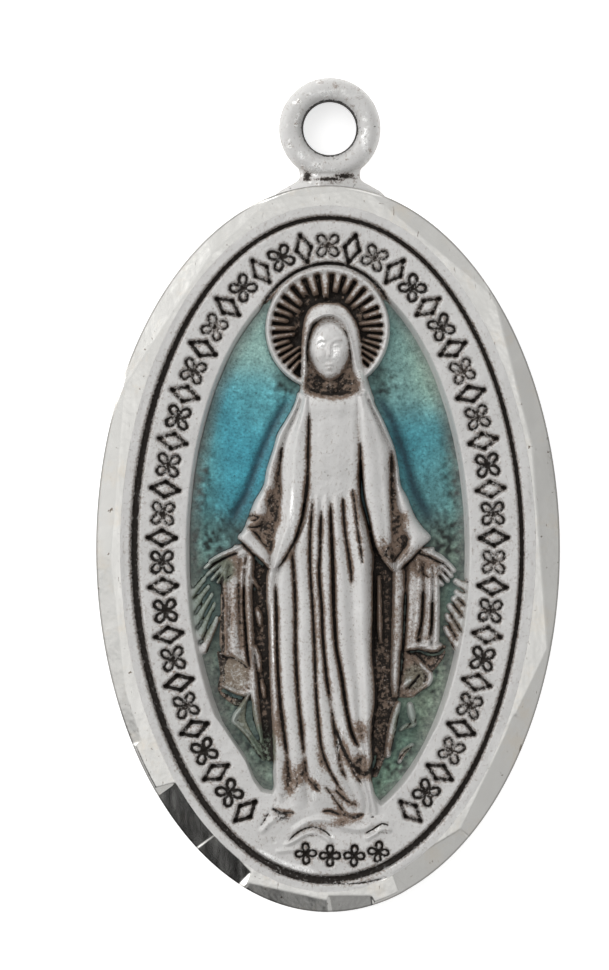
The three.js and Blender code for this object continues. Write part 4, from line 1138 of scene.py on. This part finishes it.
def struckSilver():
    material, nodes, links, shader = newMaterial("struck silver")
    coords = nodes.new("ShaderNodeTexCoord").outputs["Object"]
    look = silverLook

    def times(a, b):
        return maths(nodes, links, "MULTIPLY", a, b)

    def plus(a, b):
        return maths(nodes, links, "ADD", a, b)

    def step(value, low, high, most):
        return ramp(nodes, links, value, (low, 0), (high, most))

    def cover(share, under, over):
        return blendColours(nodes, links, share, under, over)

    slow = noise(nodes, links, coords, look["cloudScale"], 3)
    grain = noise(nodes, links, coords, look["grainScale"], 5, 0.65)
    speck = noise(nodes, links, coords, look["speckScale"], 6, 0.8)
    patina, hollowHere, broadHere, hazeHere, smearHere, polishAndHighlightHere = [
        attribute(nodes, name) for name in ("patina", "hollow", "broad", "haze", "smear", "polishAndPaintedHighlight")
    ]
    ragged = plus(times(speck, 2.8), -1.4)
    dark = step(plus(plus(times(patina, 0.95), times(hollowHere, 0.45)), ragged), 0.42, 0.86, 1)
    stain = step(plus(plus(times(broadHere, 0.8), times(hazeHere, 0.85)), ragged), 0.16, 0.8, 0.9)
    pits = step(noise(nodes, links, coords, look["pitScale"], 3, 0.7), 0.66, 0.72, 0.7)
    scratches = noise(nodes, links, coords, look["scratchScale"], 4, 0.7, (1.0, 0.4, 1.0, 8))
    scratches = step(scratches, 0.58, 0.72, 0.42)
    # painted glints: white specks of highlight near the patina
    paintedGlints = step(noise(nodes, links, coords, look["paintedGlintScale"], 4, 0.7), 0.63, 0.68, 1)
    rubbedAndPaintedSheen = times(polishAndHighlightHere, step(grain, 0.4, 0.52, 1))
    glow = maths(nodes, links, "MAXIMUM", times(paintedGlints, times(hazeHere, 0.8)), rubbedAndPaintedSheen)
    base = cover(slow, look["clean"], look["worn"])
    base = cover(times(pits, plus(times(slow, 2.0), -0.55)), base, look["tarnish"])
    base = cover(scratches, base, look["stain"])
    base = cover(stain, base, look["stain"])
    # painted highlight: the colour turns near white at the glints and on polished places
    base = cover(glow, base, look["paintedHighlight"])
    base = cover(smearHere, base, look["smear"])
    depth = cover(step(speck, 0.56, 0.78, 0.9), look["patina"], look["tarnish"])
    links.new(cover(dark, base, depth), shader.inputs["Base Color"])
    dulled = plus(plus(times(dark, 0.5), times(smearHere, 0.5)), times(stain, 0.25))
    links.new(plus(plus(times(dulled, -1), look["metallic"]), times(glow, 0.3)), shader.inputs["Metallic"])
    rough = plus(plus(times(grain, 0.2), look["roughness"]), times(stain, 0.1))
    links.new(plus(rough, times(glow, -0.4)), shader.inputs["Roughness"])
    shader.inputs["Specular IOR Level"].default_value = look["specular"]
    bumpBy(nodes, links, shader, plus(grain, times(speck, 1.6)), look["bump"], look["bumpDepth"])
    return material


# Polished silver of the rim, with pits and with short scratches that follow the turning tool: the scale,
# detail, least noise, strength and stretch of each kind
rimSilverLook = {
    "clean": (0.84, 0.83, 0.80), "worn": (0.74, 0.73, 0.70), "cream": (0.80, 0.75, 0.67),
    "spot": (0.16, 0.11, 0.07), "patina": (0.05, 0.04, 0.03),
    "spots": [(3600, 5, 0.655, 0.85, None), (7000, 4, 0.66, 0.6, (1.0, 0.22, 1.0, 24))],
}


def polishedSilver():
    material, nodes, links, shader = newMaterial("polished silver")
    coords = nodes.new("ShaderNodeTexCoord").outputs["Object"]
    look = rimSilverLook
    slow = noise(nodes, links, coords, 1200, 3)
    streaks = noise(nodes, links, coords, 3000, 5, 0.6, (1.0, 0.16, 1.0, 30))
    base = blendColours(nodes, links, slow, look["clean"], look["worn"])
    cream = ramp(nodes, links, noise(nodes, links, coords, 700, 5, 0.7), (0.5, 0), (0.68, 0.7))
    base = blendColours(nodes, links, cream, base, look["cream"])
    for scale, detail, low, most, stretch in look["spots"]:
        spots = noise(nodes, links, coords, scale, detail, 0.65, stretch)
        spots = ramp(nodes, links, spots, (low, 0), (low + 0.05, most))
        base = blendColours(nodes, links, spots, base, look["spot"])
    base = blendColours(nodes, links, attribute(nodes, "patina"), base, look["patina"])
    links.new(base, shader.inputs["Base Color"])
    shader.inputs["Metallic"].default_value = 1
    rough = maths(nodes, links, "ADD", 0.04, maths(nodes, links, "MULTIPLY", streaks, 0.3))
    links.new(rough, shader.inputs["Roughness"])
    bumpBy(nodes, links, shader, streaks, 0.2, 0.000004)
    return material


# Enamel: the tones of its clouds and its grain, its blemishes and its finish
enamelLook = {
    "cloud": [(0.3, (0.74, 0.76, 0.76)), (0.7, (1.2, 1.18, 1.16))],
    "grain": [(0.33, (0.56, 0.6, 0.6)), (0.5, (1, 1, 1)), (0.68, (1.45, 1.38, 1.38))],
    "pit": (0.01, 0.03, 0.04), "dust": (0.26, 0.36, 0.35), "roughness": 0.26, "specular": 0.35,
}


def enamelGlass():
    material, nodes, links, shader = newMaterial("blue enamel")
    coords = nodes.new("ShaderNodeTexCoord").outputs["Object"]
    look = enamelLook
    cloud = noise(nodes, links, coords, 1500, 4, 0.6)
    fleck = noise(nodes, links, coords, 9000, 3, 0.6)
    grain = noise(nodes, links, coords, 11000, 4, 0.7)
    dust = noise(nodes, links, coords, 8000, 5, 0.8)
    base = attribute(nodes, "paint", "Color")
    for field, stops in ((cloud, look["cloud"]), (grain, look["grain"])):
        base = blendColours(nodes, links, 1.0, base, ramp(nodes, links, field, *stops), "MULTIPLY")
    base = blendColours(nodes, links, ramp(nodes, links, fleck, (0.6, 0), (0.74, 0.6)), base, look["pit"])
    base = blendColours(nodes, links, ramp(nodes, links, dust, (0.24, 0.8), (0.36, 0)), base, look["dust"])
    links.new(base, shader.inputs["Base Color"])
    rough = maths(nodes, links, "ADD", look["roughness"], maths(nodes, links, "MULTIPLY", fleck, 0.2))
    links.new(rough, shader.inputs["Roughness"])
    shader.inputs["Specular IOR Level"].default_value = look["specular"]
    height = maths(nodes, links, "ADD", cloud, maths(nodes, links, "MULTIPLY", fleck, 0.3))
    bumpBy(nodes, links, shader, height, 0.4, 0.00002)
    return material


silver = struckSilver()
bright = polishedSilver()
glass = enamelGlass()

# Relief of the sunk field, in two halves that meet on the middle line
relief = {"oval": (4.78, 9.18), "columns": 312, "rows": 302, "under": 0.45}


def makeRelief(name, low, high):
    piece = flatGrid(name, relief["columns"], relief["rows"])
    co = places(piece.data)
    x, y = fieldDisc(co[:, 0], low + (high - low) * (co[:, 1] + 1) / 2, relief["oval"])
    keep(piece.data, np.stack([x, y, struckTop(x, y)], axis=1) * mm)
    count = len(co)
    closeBelow(piece, relief["under"])
    smoothTop(piece, np.ones(count, dtype=bool))
    dress(piece)
    settle(piece, "silver", silver, "medal")


makeRelief("relief_upper", 0, 1)
makeRelief("relief_lower", -1, 0)
print("relief made")

# Band round the field, with the groove outside it
band = {"inner": relief["oval"], "outer": (6.72, 11.1), "columns": 1440, "rows": 64, "under": 0.45}


def wrapGrid(piece, ways):
    # a grid wrapped round the oval; ways gives half width, half height and level across it
    co = places(piece.data)
    turn = np.pi * co[:, 0]
    a, b, z = ways((co[:, 1] + 1) / 2)
    return a * np.sin(turn), b * np.cos(turn), z


def weld(piece):
    # the seam of a wrapped grid, and its poles
    alone(piece)
    editMode("VERT")
    bpy.ops.mesh.select_all(action="SELECT")
    bpy.ops.mesh.remove_doubles(threshold=0.000002)
    faceOutwards()


def makeBand():
    piece = flatGrid("ornament_band", band["columns"], band["rows"])
    (a0, b0), (a1, b1) = band["inner"], band["outer"]
    x, y, _ = wrapGrid(piece, lambda t: (a0 + (a1 - a0) * t, b0 + (b1 - b0) * t, t))
    keep(piece.data, np.stack([x, y, struckTop(x, y)], axis=1) * mm)
    weld(piece)
    count = len(piece.data.vertices)
    closeBelow(piece, band["under"], ring=True)
    smoothTop(piece, np.ones(count, dtype=bool))
    dress(piece)
    settle(piece, "silver", silver, "medal")


makeBand()
print("band made")

# Plate: the rim outside the groove, its wall, the back, and the floor that carries the relief. Floor and
# wall are rows of half width, half height and level.
plate = {
    "columns": 1440,
    "floor": [(0.02, 0.03, 0.4), (3.0, 6.0, 0.4), (6.0, 10.38, 0.4), (6.69, 11.07, 0.4)],
    "rim": [(6.705, 11.085), (7.5, 11.75)],
    "rimRows": 27,
    "wall": [
        (7.5, 11.75, 0.75), (7.5, 11.75, 0.3), (7.5, 11.75, 0.13), (7.492, 11.742, 0.08),
        (7.466, 11.716, 0.034), (7.42, 11.67, 0.008),
        (7.36, 11.61, 0.0), (7.2, 11.45, 0.0), (6.0, 10.3, 0.0), (3.0, 6.0, 0.0), (0.02, 0.03, 0.0),
    ],
}


def makePlate():
    onDie = 9  # a level that stands for the die's own
    steps = list(plate["floor"])
    for t in np.linspace(0, 1, plate["rimRows"]):
        steps.append((*[a + (b - a) * t for a, b in zip(*plate["rim"])], onDie))
    steps = np.array(steps + plate["wall"])
    piece = flatGrid("rim_plate", plate["columns"], len(steps) - 1)
    at = np.linspace(0, 1, len(steps))
    x, y, z = wrapGrid(piece, lambda t: [np.interp(t, at, column) for column in steps.T])
    z = np.where(z > onDie / 2, struckTop(x, y), z)
    keep(piece.data, np.stack([x, y, z], axis=1) * mm)
    weld(piece)
    editMode("EDGE")
    selectOpenEdges()
    bpy.ops.mesh.fill()
    faceOutwards()
    smoothTop(piece, places(piece.data)[:, 2] > 0.8 * mm)
    dress(piece)
    settle(piece, "silver", bright, "medal")


makePlate()
print("plate made")

# Hanging ring and its neck: middle of the hole, radius to the middle of the bar, and the bar's half width
# and half thickness
hanger = {
    "centre": (0.06, 13.63, 0.55), "middle": 1.255, "thick": 0.395, "tall": 0.55,
    "square": 2.7,  # 2 is a round section, and more is flatter on top
    # place along, half width and half thickness of each section of the neck
    "neck": [
        (12.7, 1.1, 0.44), (12.45, 1.04, 0.48), (12.2, 0.99, 0.5), (12.08, 0.98, 0.5), (11.98, 1.01, 0.5),
        (11.9, 1.1, 0.5), (11.8, 1.28, 0.5), (11.7, 1.46, 0.5), (11.6, 1.64, 0.48), (11.45, 1.8, 0.45),
        (11.1, 1.5, 0.4),
    ],
    "fineness": 0.026,
    # dark solder marks and bright glints painted as highlights: place across and along, reach each way and strength
    "marks": [
        (0.5, 12.07, 0.34, 0.11, 1.25), (-0.68, 12.06, 0.16, 0.2, 1.2), (0.07, 11.97, 0.55, 0.08, 1.15),
        (0.17, 11.86, 0.34, 0.11, 0.6), (0.82, 12.03, 0.16, 0.1, 0.8),
    ],
    "paintedGlints": [
        (-0.39, 12.28, 0.14, 0.2, 1), (-0.84, 12.75, 0.16, 0.13, 1), (0.07, 14.75, 0.6, 0.09, 1),
        (1.2, 13.4, 0.09, 0.6, 1), (0.25, 12.26, 0.4, 0.05, 0.8), (-0.6, 12.28, 0.1, 0.12, 0.8),
    ],
}


def addNeck():
    # a round bar across, extruded from section to section towards the rim
    cx, _, cz = hanger["centre"]
    editMode("VERT")
    (at, wide, thick), *rest = hanger["neck"]
    bpy.ops.mesh.primitive_circle_add(
        vertices=48, radius=1, fill_type="NGON", location=(cx, at, cz), rotation=(math.pi / 2, 0, 0)
    )
    bpy.ops.transform.resize(value=(wide, 1, thick), center_override=(cx, at, cz))
    for nextAt, nextWide, nextThick in rest:
        bpy.ops.mesh.extrude_region_move(TRANSFORM_OT_translate={"value": (0, nextAt - at, 0)})
        grow = (nextWide / wide, 1, nextThick / thick)
        bpy.ops.transform.resize(value=grow, center_override=(cx, nextAt, cz))
        at, wide, thick = nextAt, nextWide, nextThick
    bpy.ops.object.mode_set(mode="OBJECT")


def shadeHanger(ring):
    # painted shade on the hole's edge and on the walls, darker solder marks, and painted highlights on the glints
    # and on mottled patches at the left
    cx, cy, _ = hanger["centre"]
    co = places(ring.data) / mm
    normals = np.empty(len(co) * 3)
    ring.data.vertices.foreach_get("normal", normals)
    # the walls get painted shade by how far they turn from upwards
    side = np.clip((0.72 - normals.reshape(-1, 3)[:, 2]) / 0.5, 0, 1)
    upper = np.clip((co[:, 1] - cy) / 0.8, 0, 1)  # the hole is darkest at its top
    # painted shade inside the hole's edge, darkest at its top
    edge = hanger["middle"] - (0.5 - 0.24 * upper) * hanger["thick"]
    inner = np.clip((edge - np.hypot(co[:, 0] - cx, co[:, 1] - cy)) / 0.1, 0, 1) * side
    marks, paintedGlints = [np.zeros(len(co)) for k in range(2)]
    for values, kind in ((marks, "marks"), (paintedGlints, "paintedGlints")):
        for x, y, wide, high, much in hanger[kind]:
            spot = much * np.exp(-(((co[:, 0] - x) / wide) ** 2 + ((co[:, 1] - y) / high) ** 2))
            np.maximum(values, spot * np.clip((co[:, 2] - 0.5) / 0.3, 0, 1), out=values)
    # mottled like the die, but not on the walls and the back
    mottle, spots = [sample(field, co[:, 0], co[:, 1] - 12) * (1 - side) for field in (worm, grit)]
    # painted highlight: bright mottled patches towards the ring's left
    rubbedAndPaintedSheen = np.clip(1.2 * mottle - 1.3, 0, 1) * np.clip(0.4 - co[:, 0], 0, 1)
    for name, values in (
        ("patina", np.max([1.1 * inner, 0.95 * marks, 0.6 * np.clip(spots - 1.5, 0, 1)], axis=0)),
        ("hollow", 0.5 * inner),
        ("broad", 0.15 * side),
        ("haze", np.max([0.85 * marks, 0.1 * side, 0.26 * np.clip(mottle - 0.3, 0, 2)], axis=0)),
        ("smear", np.zeros(len(co))),
        ("polishAndPaintedHighlight", np.maximum(rubbedAndPaintedSheen, np.clip(1.6 * paintedGlints * (0.6 + mottle), 0, 1))),
    ):
        addValues(ring.data, name, values)


def makeHanger():
    cx, cy, cz = hanger["centre"]
    middle, thick, power = hanger["middle"], hanger["thick"], hanger["square"]
    bpy.ops.object.select_all(action="DESELECT")
    bpy.ops.mesh.primitive_torus_add(
        location=(0, 0, 0), major_segments=144, minor_segments=36, major_radius=middle, minor_radius=thick
    )
    ring = bpy.context.object
    ring.name = ring.data.name = "hanging_ring"
    # the section is squared a little, so that the ring's face is broad and flat
    co = places(ring.data)
    r = np.hypot(co[:, 0], co[:, 1])
    out, up = (r - middle) / thick, co[:, 2] / thick
    grow = (np.abs(out) ** power + np.abs(up) ** power) ** (-1 / power)
    co[:, :2] *= ((middle + thick * out * grow) / r)[:, None]
    co[:, 2] = hanger["tall"] * up * grow
    keep(ring.data, co + (cx, cy, cz))
    addNeck()
    soften = ring.modifiers.new("weld", "REMESH")
    soften.mode = "VOXEL"
    soften.voxel_size = hanger["fineness"]
    bpy.ops.object.modifier_apply(modifier="weld")
    ease = ring.modifiers.new("ease", "SMOOTH")
    ease.factor = 0.5
    ease.iterations = 6
    bpy.ops.object.modifier_apply(modifier="ease")
    keep(ring.data, places(ring.data) * mm)
    shadeHanger(ring)
    alone(ring)
    bpy.ops.object.shade_smooth()
    settle(ring, "silver", silver, "medal")


makeHanger()
print("hanging ring made")

# Enamel in the two sunk fields: half width and half height, levels of its top and underside, how far it
# sinks in the furrows and climbs at the silver, how far under the silver it reaches, and its colours there,
# with painted shade in the furrows and beside the silver
enamel = {
    "columns": 150, "rows": 400, "half": (4.58, 9.0), "top": 0.985, "level": 1.03, "under": 0.88,
    "sink": 0.05, "climb": 0.05, "tuck": 0.04, "tint": (0.97, 1.06, 0.94),
    "furrowAndShade": (0.005, 0.03, 0.05), "silverEdgeShade": (0.02, 0.045, 0.05), "bandEdge": (0.16, 0.17, 0.16),
}
# Colours in the glass: place across and along, reach each way, and colour
washes = [
    (-215, 80, 60, 90, (0.046, 0.238, 0.335)),
    (-175, 190, 50, 90, (0.058, 0.31, 0.45)),
    (-140, 290, 40, 60, (0.115, 0.36, 0.46)),
    (-130, 370, 60, 40, (0.30, 0.44, 0.45)),
    (-242, 120, 32, 160, (0.105, 0.2, 0.2)),
    (205, 110, 50, 90, (0.10, 0.24, 0.285)),
    (165, 210, 46, 80, (0.055, 0.27, 0.375)),
    (145, 320, 40, 60, (0.22, 0.38, 0.41)),
    (190, 330, 40, 60, (0.33, 0.43, 0.38)),
    # painted shade in the corners where the halo meets the shoulders
    (-82, 322, 16, 18, (0.03, 0.06, 0.06)),
    (104, 322, 16, 20, (0.03, 0.06, 0.06)),
    (250, 120, 24, 160, (0.09, 0.18, 0.18)),
    (-215, -16, 110, 60, (0.08, 0.072, 0.046)),
    (-190, 34, 34, 26, (0.055, 0.055, 0.045)),
    (-235, 44, 40, 26, (0.08, 0.12, 0.10)),
    (-240, -230, 60, 110, (0.10, 0.12, 0.11)),
    (-170, -400, 40, 50, (0.15, 0.18, 0.165)),
    (-135, -380, 40, 50, (0.19, 0.225, 0.21)),
    (225, 0, 60, 50, (0.125, 0.124, 0.10)),
    (205, 40, 30, 24, (0.07, 0.09, 0.085)),
    (215, -290, 50, 110, (0.21, 0.25, 0.215)),
    (230, -200, 30, 40, (0.09, 0.10, 0.09)),
    (120, -430, 50, 70, (0.175, 0.26, 0.22)),
    (150, -380, 30, 60, (0.11, 0.165, 0.145)),
]
# Furrows in the glass along the figure's sides, with painted shade in them
shadedFurrows = [
    (17, [
        (-64, 300), (-80, 280), (-98, 250), (-114, 217), (-126, 190), (-136, 164), (-148, 130), (-158, 104),
        (-171, 80), (-184, 56), (-196, 36),
    ]),
    (18, [
        (84, 308), (96, 288), (112, 262), (126, 236), (134, 210), (143, 184), (151, 160), (158, 136),
        (164, 112), (178, 86), (192, 62), (206, 38),
    ]),
]


# Grime in the glass: place, reach each way and how much
grimePlaces = [
    (-220, 0, 70, 70, 1.0), (-245, 120, 26, 120, 0.7), (225, 10, 50, 60, 1.0), (240, 110, 26, 120, 0.7),
    (-215, -280, 60, 120, 0.7), (-150, -400, 60, 70, 0.7), (215, -260, 60, 130, 0.7), (130, -420, 60, 80, 0.8),
    (-90, 305, 26, 30, 0.8), (108, 312, 26, 34, 0.8), (0, 200, 400, 260, 0.13),
]


def washColour(x, y):
    total = np.full(x.shape, 1e-6)
    colour = np.zeros((*x.shape, 3))
    for cx, cy, wide, high, tint in washes:
        share = np.exp(-(((x - cx) / wide) ** 2 + ((y - cy) / high) ** 2))
        total += share
        colour += share[..., None] * np.array(tint)
    return colour / total[..., None]


# a shallow sink, and painted shade, along the figure's sides
furrowAndShade = np.zeros(die.shape)
for half, way in shadedFurrows:
    near, mark = trace(way, half, 0.2)
    furrowAndShade[near] = np.maximum(furrowAndShade[near], smoothStep(mark))
furrowAndShade = blur(furrowAndShade, 3)
nearSilver = blur((die > 24).astype(float), 7)  # how near the glass is to the silver round it
nearBand = np.clip(ovalGap("field") / 26 + 1.35, 0, 1)


def paintGlass(piece):
    x, y = places(piece.data)[:, :2].T / mm
    u, v = x / unit, y / unit
    colour = np.array(enamel["tint"]) * washColour(u, v)
    grime = np.zeros(len(x))
    for gx, gy, wide, high, much in grimePlaces:
        grime = np.maximum(grime, much * np.exp(-(((u - gx) / wide) ** 2 + ((v - gy) / high) ** 2)))
    grain = sample(worm, x, y) * 0.5 + sample(grit, x, y) * 0.3 - 0.1
    colour *= np.clip(1 + grime * grain, 0.12, 2.2)[:, None]
    rim = sample(nearBand, x, y)
    # painted shade in the glass beside the silver
    edge = np.clip(sample(nearSilver, x, y) * 1.6, 0, 1) * (1 - rim)
    shares = {"furrowAndShade": 0.92 * sample(furrowAndShade, x, y), "silverEdgeShade": 0.7 * edge, "bandEdge": 0.7 * rim}
    for name, share in shares.items():
        colour = colour * (1 - share[:, None]) + share[:, None] * np.array(enamel[name])
    addColours(piece.data, "paint", colour)


def makeEnamel(side, node):
    piece = flatGrid("glass_" + ("left" if side < 0 else "right"), enamel["columns"], enamel["rows"])
    co = places(piece.data)
    v = co[:, 1] * enamel["top"]
    x = side * enamel["half"][0] * np.sqrt(1 - v * v) * (co[:, 0] + 1) / 2
    y = v * enamel["half"][1]
    near = [(0, 0), (0.05, 0), (-0.05, 0), (0, 0.05), (0, -0.05)]
    silverTop = np.min([struckTop(x + dx, y + dy) for dx, dy in near], axis=0)
    z = enamel["level"] - enamel["sink"] * sample(furrowAndShade, x, y) + enamel["climb"] * sample(nearSilver, x, y)
    keep(piece.data, np.stack([x, y, z], axis=1) * mm)
    # what lies under the silver goes
    alone(piece)
    editMode("VERT")
    bpy.ops.object.mode_set(mode="OBJECT")
    piece.data.vertices.foreach_set("select", silverTop > z + enamel["tuck"])
    bpy.ops.object.mode_set(mode="EDIT")
    bpy.ops.mesh.delete(type="VERT")
    faceOutwards()
    if sum(p.normal.z for p in piece.data.polygons[:50]) < 0:
        piece.data.flip_normals()
    shell = piece.modifiers.new("thick", "SOLIDIFY")
    shell.thickness = (enamel["level"] - enamel["under"]) * mm
    shell.offset = -1
    bpy.ops.object.modifier_apply(modifier="thick")
    bpy.ops.object.shade_smooth_by_angle(angle=math.radians(40))
    paintGlass(piece)
    settle(piece, "enamel", glass, node)


for side, node in ((-1, "enamel_left"), (1, "enamel_right")):
    makeEnamel(side, node)
print("enamel made")

# Floor, lights and camera
stage = {
    "floor": (0.94, 0.94, 0.935), "floorSize": 1.2, "glow": 0.62, "world": 0.66,
    # parts of the sky that are darker or brighter: the way to each, the cosines where it begins and is full
    "shades": [
        {"toward": (-0.33, -0.40, 0.86), "from": 0.945, "to": 0.98, "tone": 0.02},
        {"toward": (-0.5, 0.15, 0.85), "from": 0.78, "to": 0.96, "tone": 1.27},
        {"toward": (1, -0.4, 0.3), "from": 0.1, "to": 0.95, "tone": 0.78},
        {"toward": (0.49, 0.1, 0.866), "from": 0.965, "to": 0.985, "tone": 0.88},
        {"toward": (-0.03, -0.32, 0.95), "from": 0.945, "to": 0.985, "tone": 0.5},
        {"toward": (-0.02, -0.13, 0.99), "from": 0.982, "to": 0.995, "tone": 1.75},
        {"toward": (0.35, 0.6, 0.72), "from": 0.94, "to": 0.985, "tone": 1.9},
    ],
    "light": {"at": (-0.3, 0.2, 0.3), "size": (0.45, 0.45), "power": 1.0},
}


def makeStage():
    bpy.ops.object.select_all(action="DESELECT")
    bpy.ops.mesh.primitive_plane_add(size=stage["floorSize"], location=(0, 0, 0))
    floor = bpy.context.object
    floor.name = "floor"
    material, nodes, links, shader = newMaterial("pale floor")
    shader.inputs["Base Color"].default_value = (*stage["floor"], 1)
    shader.inputs["Roughness"].default_value = 0.7
    shader.inputs["Emission Color"].default_value = (1, 1, 1, 1)
    shader.inputs["Emission Strength"].default_value = stage["glow"]
    floor.data.materials.append(material)
    world = bpy.context.scene.world or bpy.data.worlds.new("studio")
    bpy.context.scene.world = world
    world.use_nodes = True
    nodes, links = world.node_tree.nodes, world.node_tree.links
    background = nodes.get("Background")
    toward = nodes.new("ShaderNodeTexCoord").outputs["Generated"]
    colour = None
    for spot in stage["shades"]:
        dot = nodes.new("ShaderNodeVectorMath")
        dot.operation = "DOT_PRODUCT"
        links.new(toward, dot.inputs[0])
        long = math.sqrt(sum(v * v for v in spot["toward"]))
        dot.inputs[1].default_value = [v / long for v in spot["toward"]]
        tone = ramp(nodes, links, dot.outputs["Value"], (spot["from"], 1), (spot["to"], spot["tone"]))
        colour = blendColours(nodes, links, 1.0, colour, tone, "MULTIPLY") if colour else tone
    links.new(colour, background.inputs["Color"])
    background.inputs["Strength"].default_value = stage["world"]


def addLight(name, at, size, power):
    # a soft light that looks at the medal
    light = bpy.data.lights.new(name, "AREA")
    light.shape = "RECTANGLE"
    light.size, light.size_y = size
    light.energy = power
    lamp = bpy.data.objects.new(name, light)
    bpy.context.collection.objects.link(lamp)
    lamp.location = at
    lamp.rotation_euler = (-Vector(at)).to_track_quat("-Z", "Y").to_euler()


makeStage()
bpy.context.scene.view_settings.view_transform = "Standard"
addLight("window", **stage["light"])

# Middle of the picture, distance of the camera above the medal's face, and height of the picture there
view = {"middle": (-0.76, 2.06), "away": 200, "face": 1.5, "tall": 31.35, "sensor": 36}


def makeCamera():
    data = bpy.data.cameras.new("camera")
    camera = bpy.data.objects.new("camera", data)
    bpy.context.collection.objects.link(camera)
    camera.location = Vector((*view["middle"], view["away"] + view["face"])) * mm
    data.sensor_width = view["sensor"]
    data.lens = view["sensor"] * view["away"] / view["tall"]
    data.clip_start = 0.001
    data.clip_end = 10
    bpy.context.scene.camera = camera


makeCamera()
print("stage set")
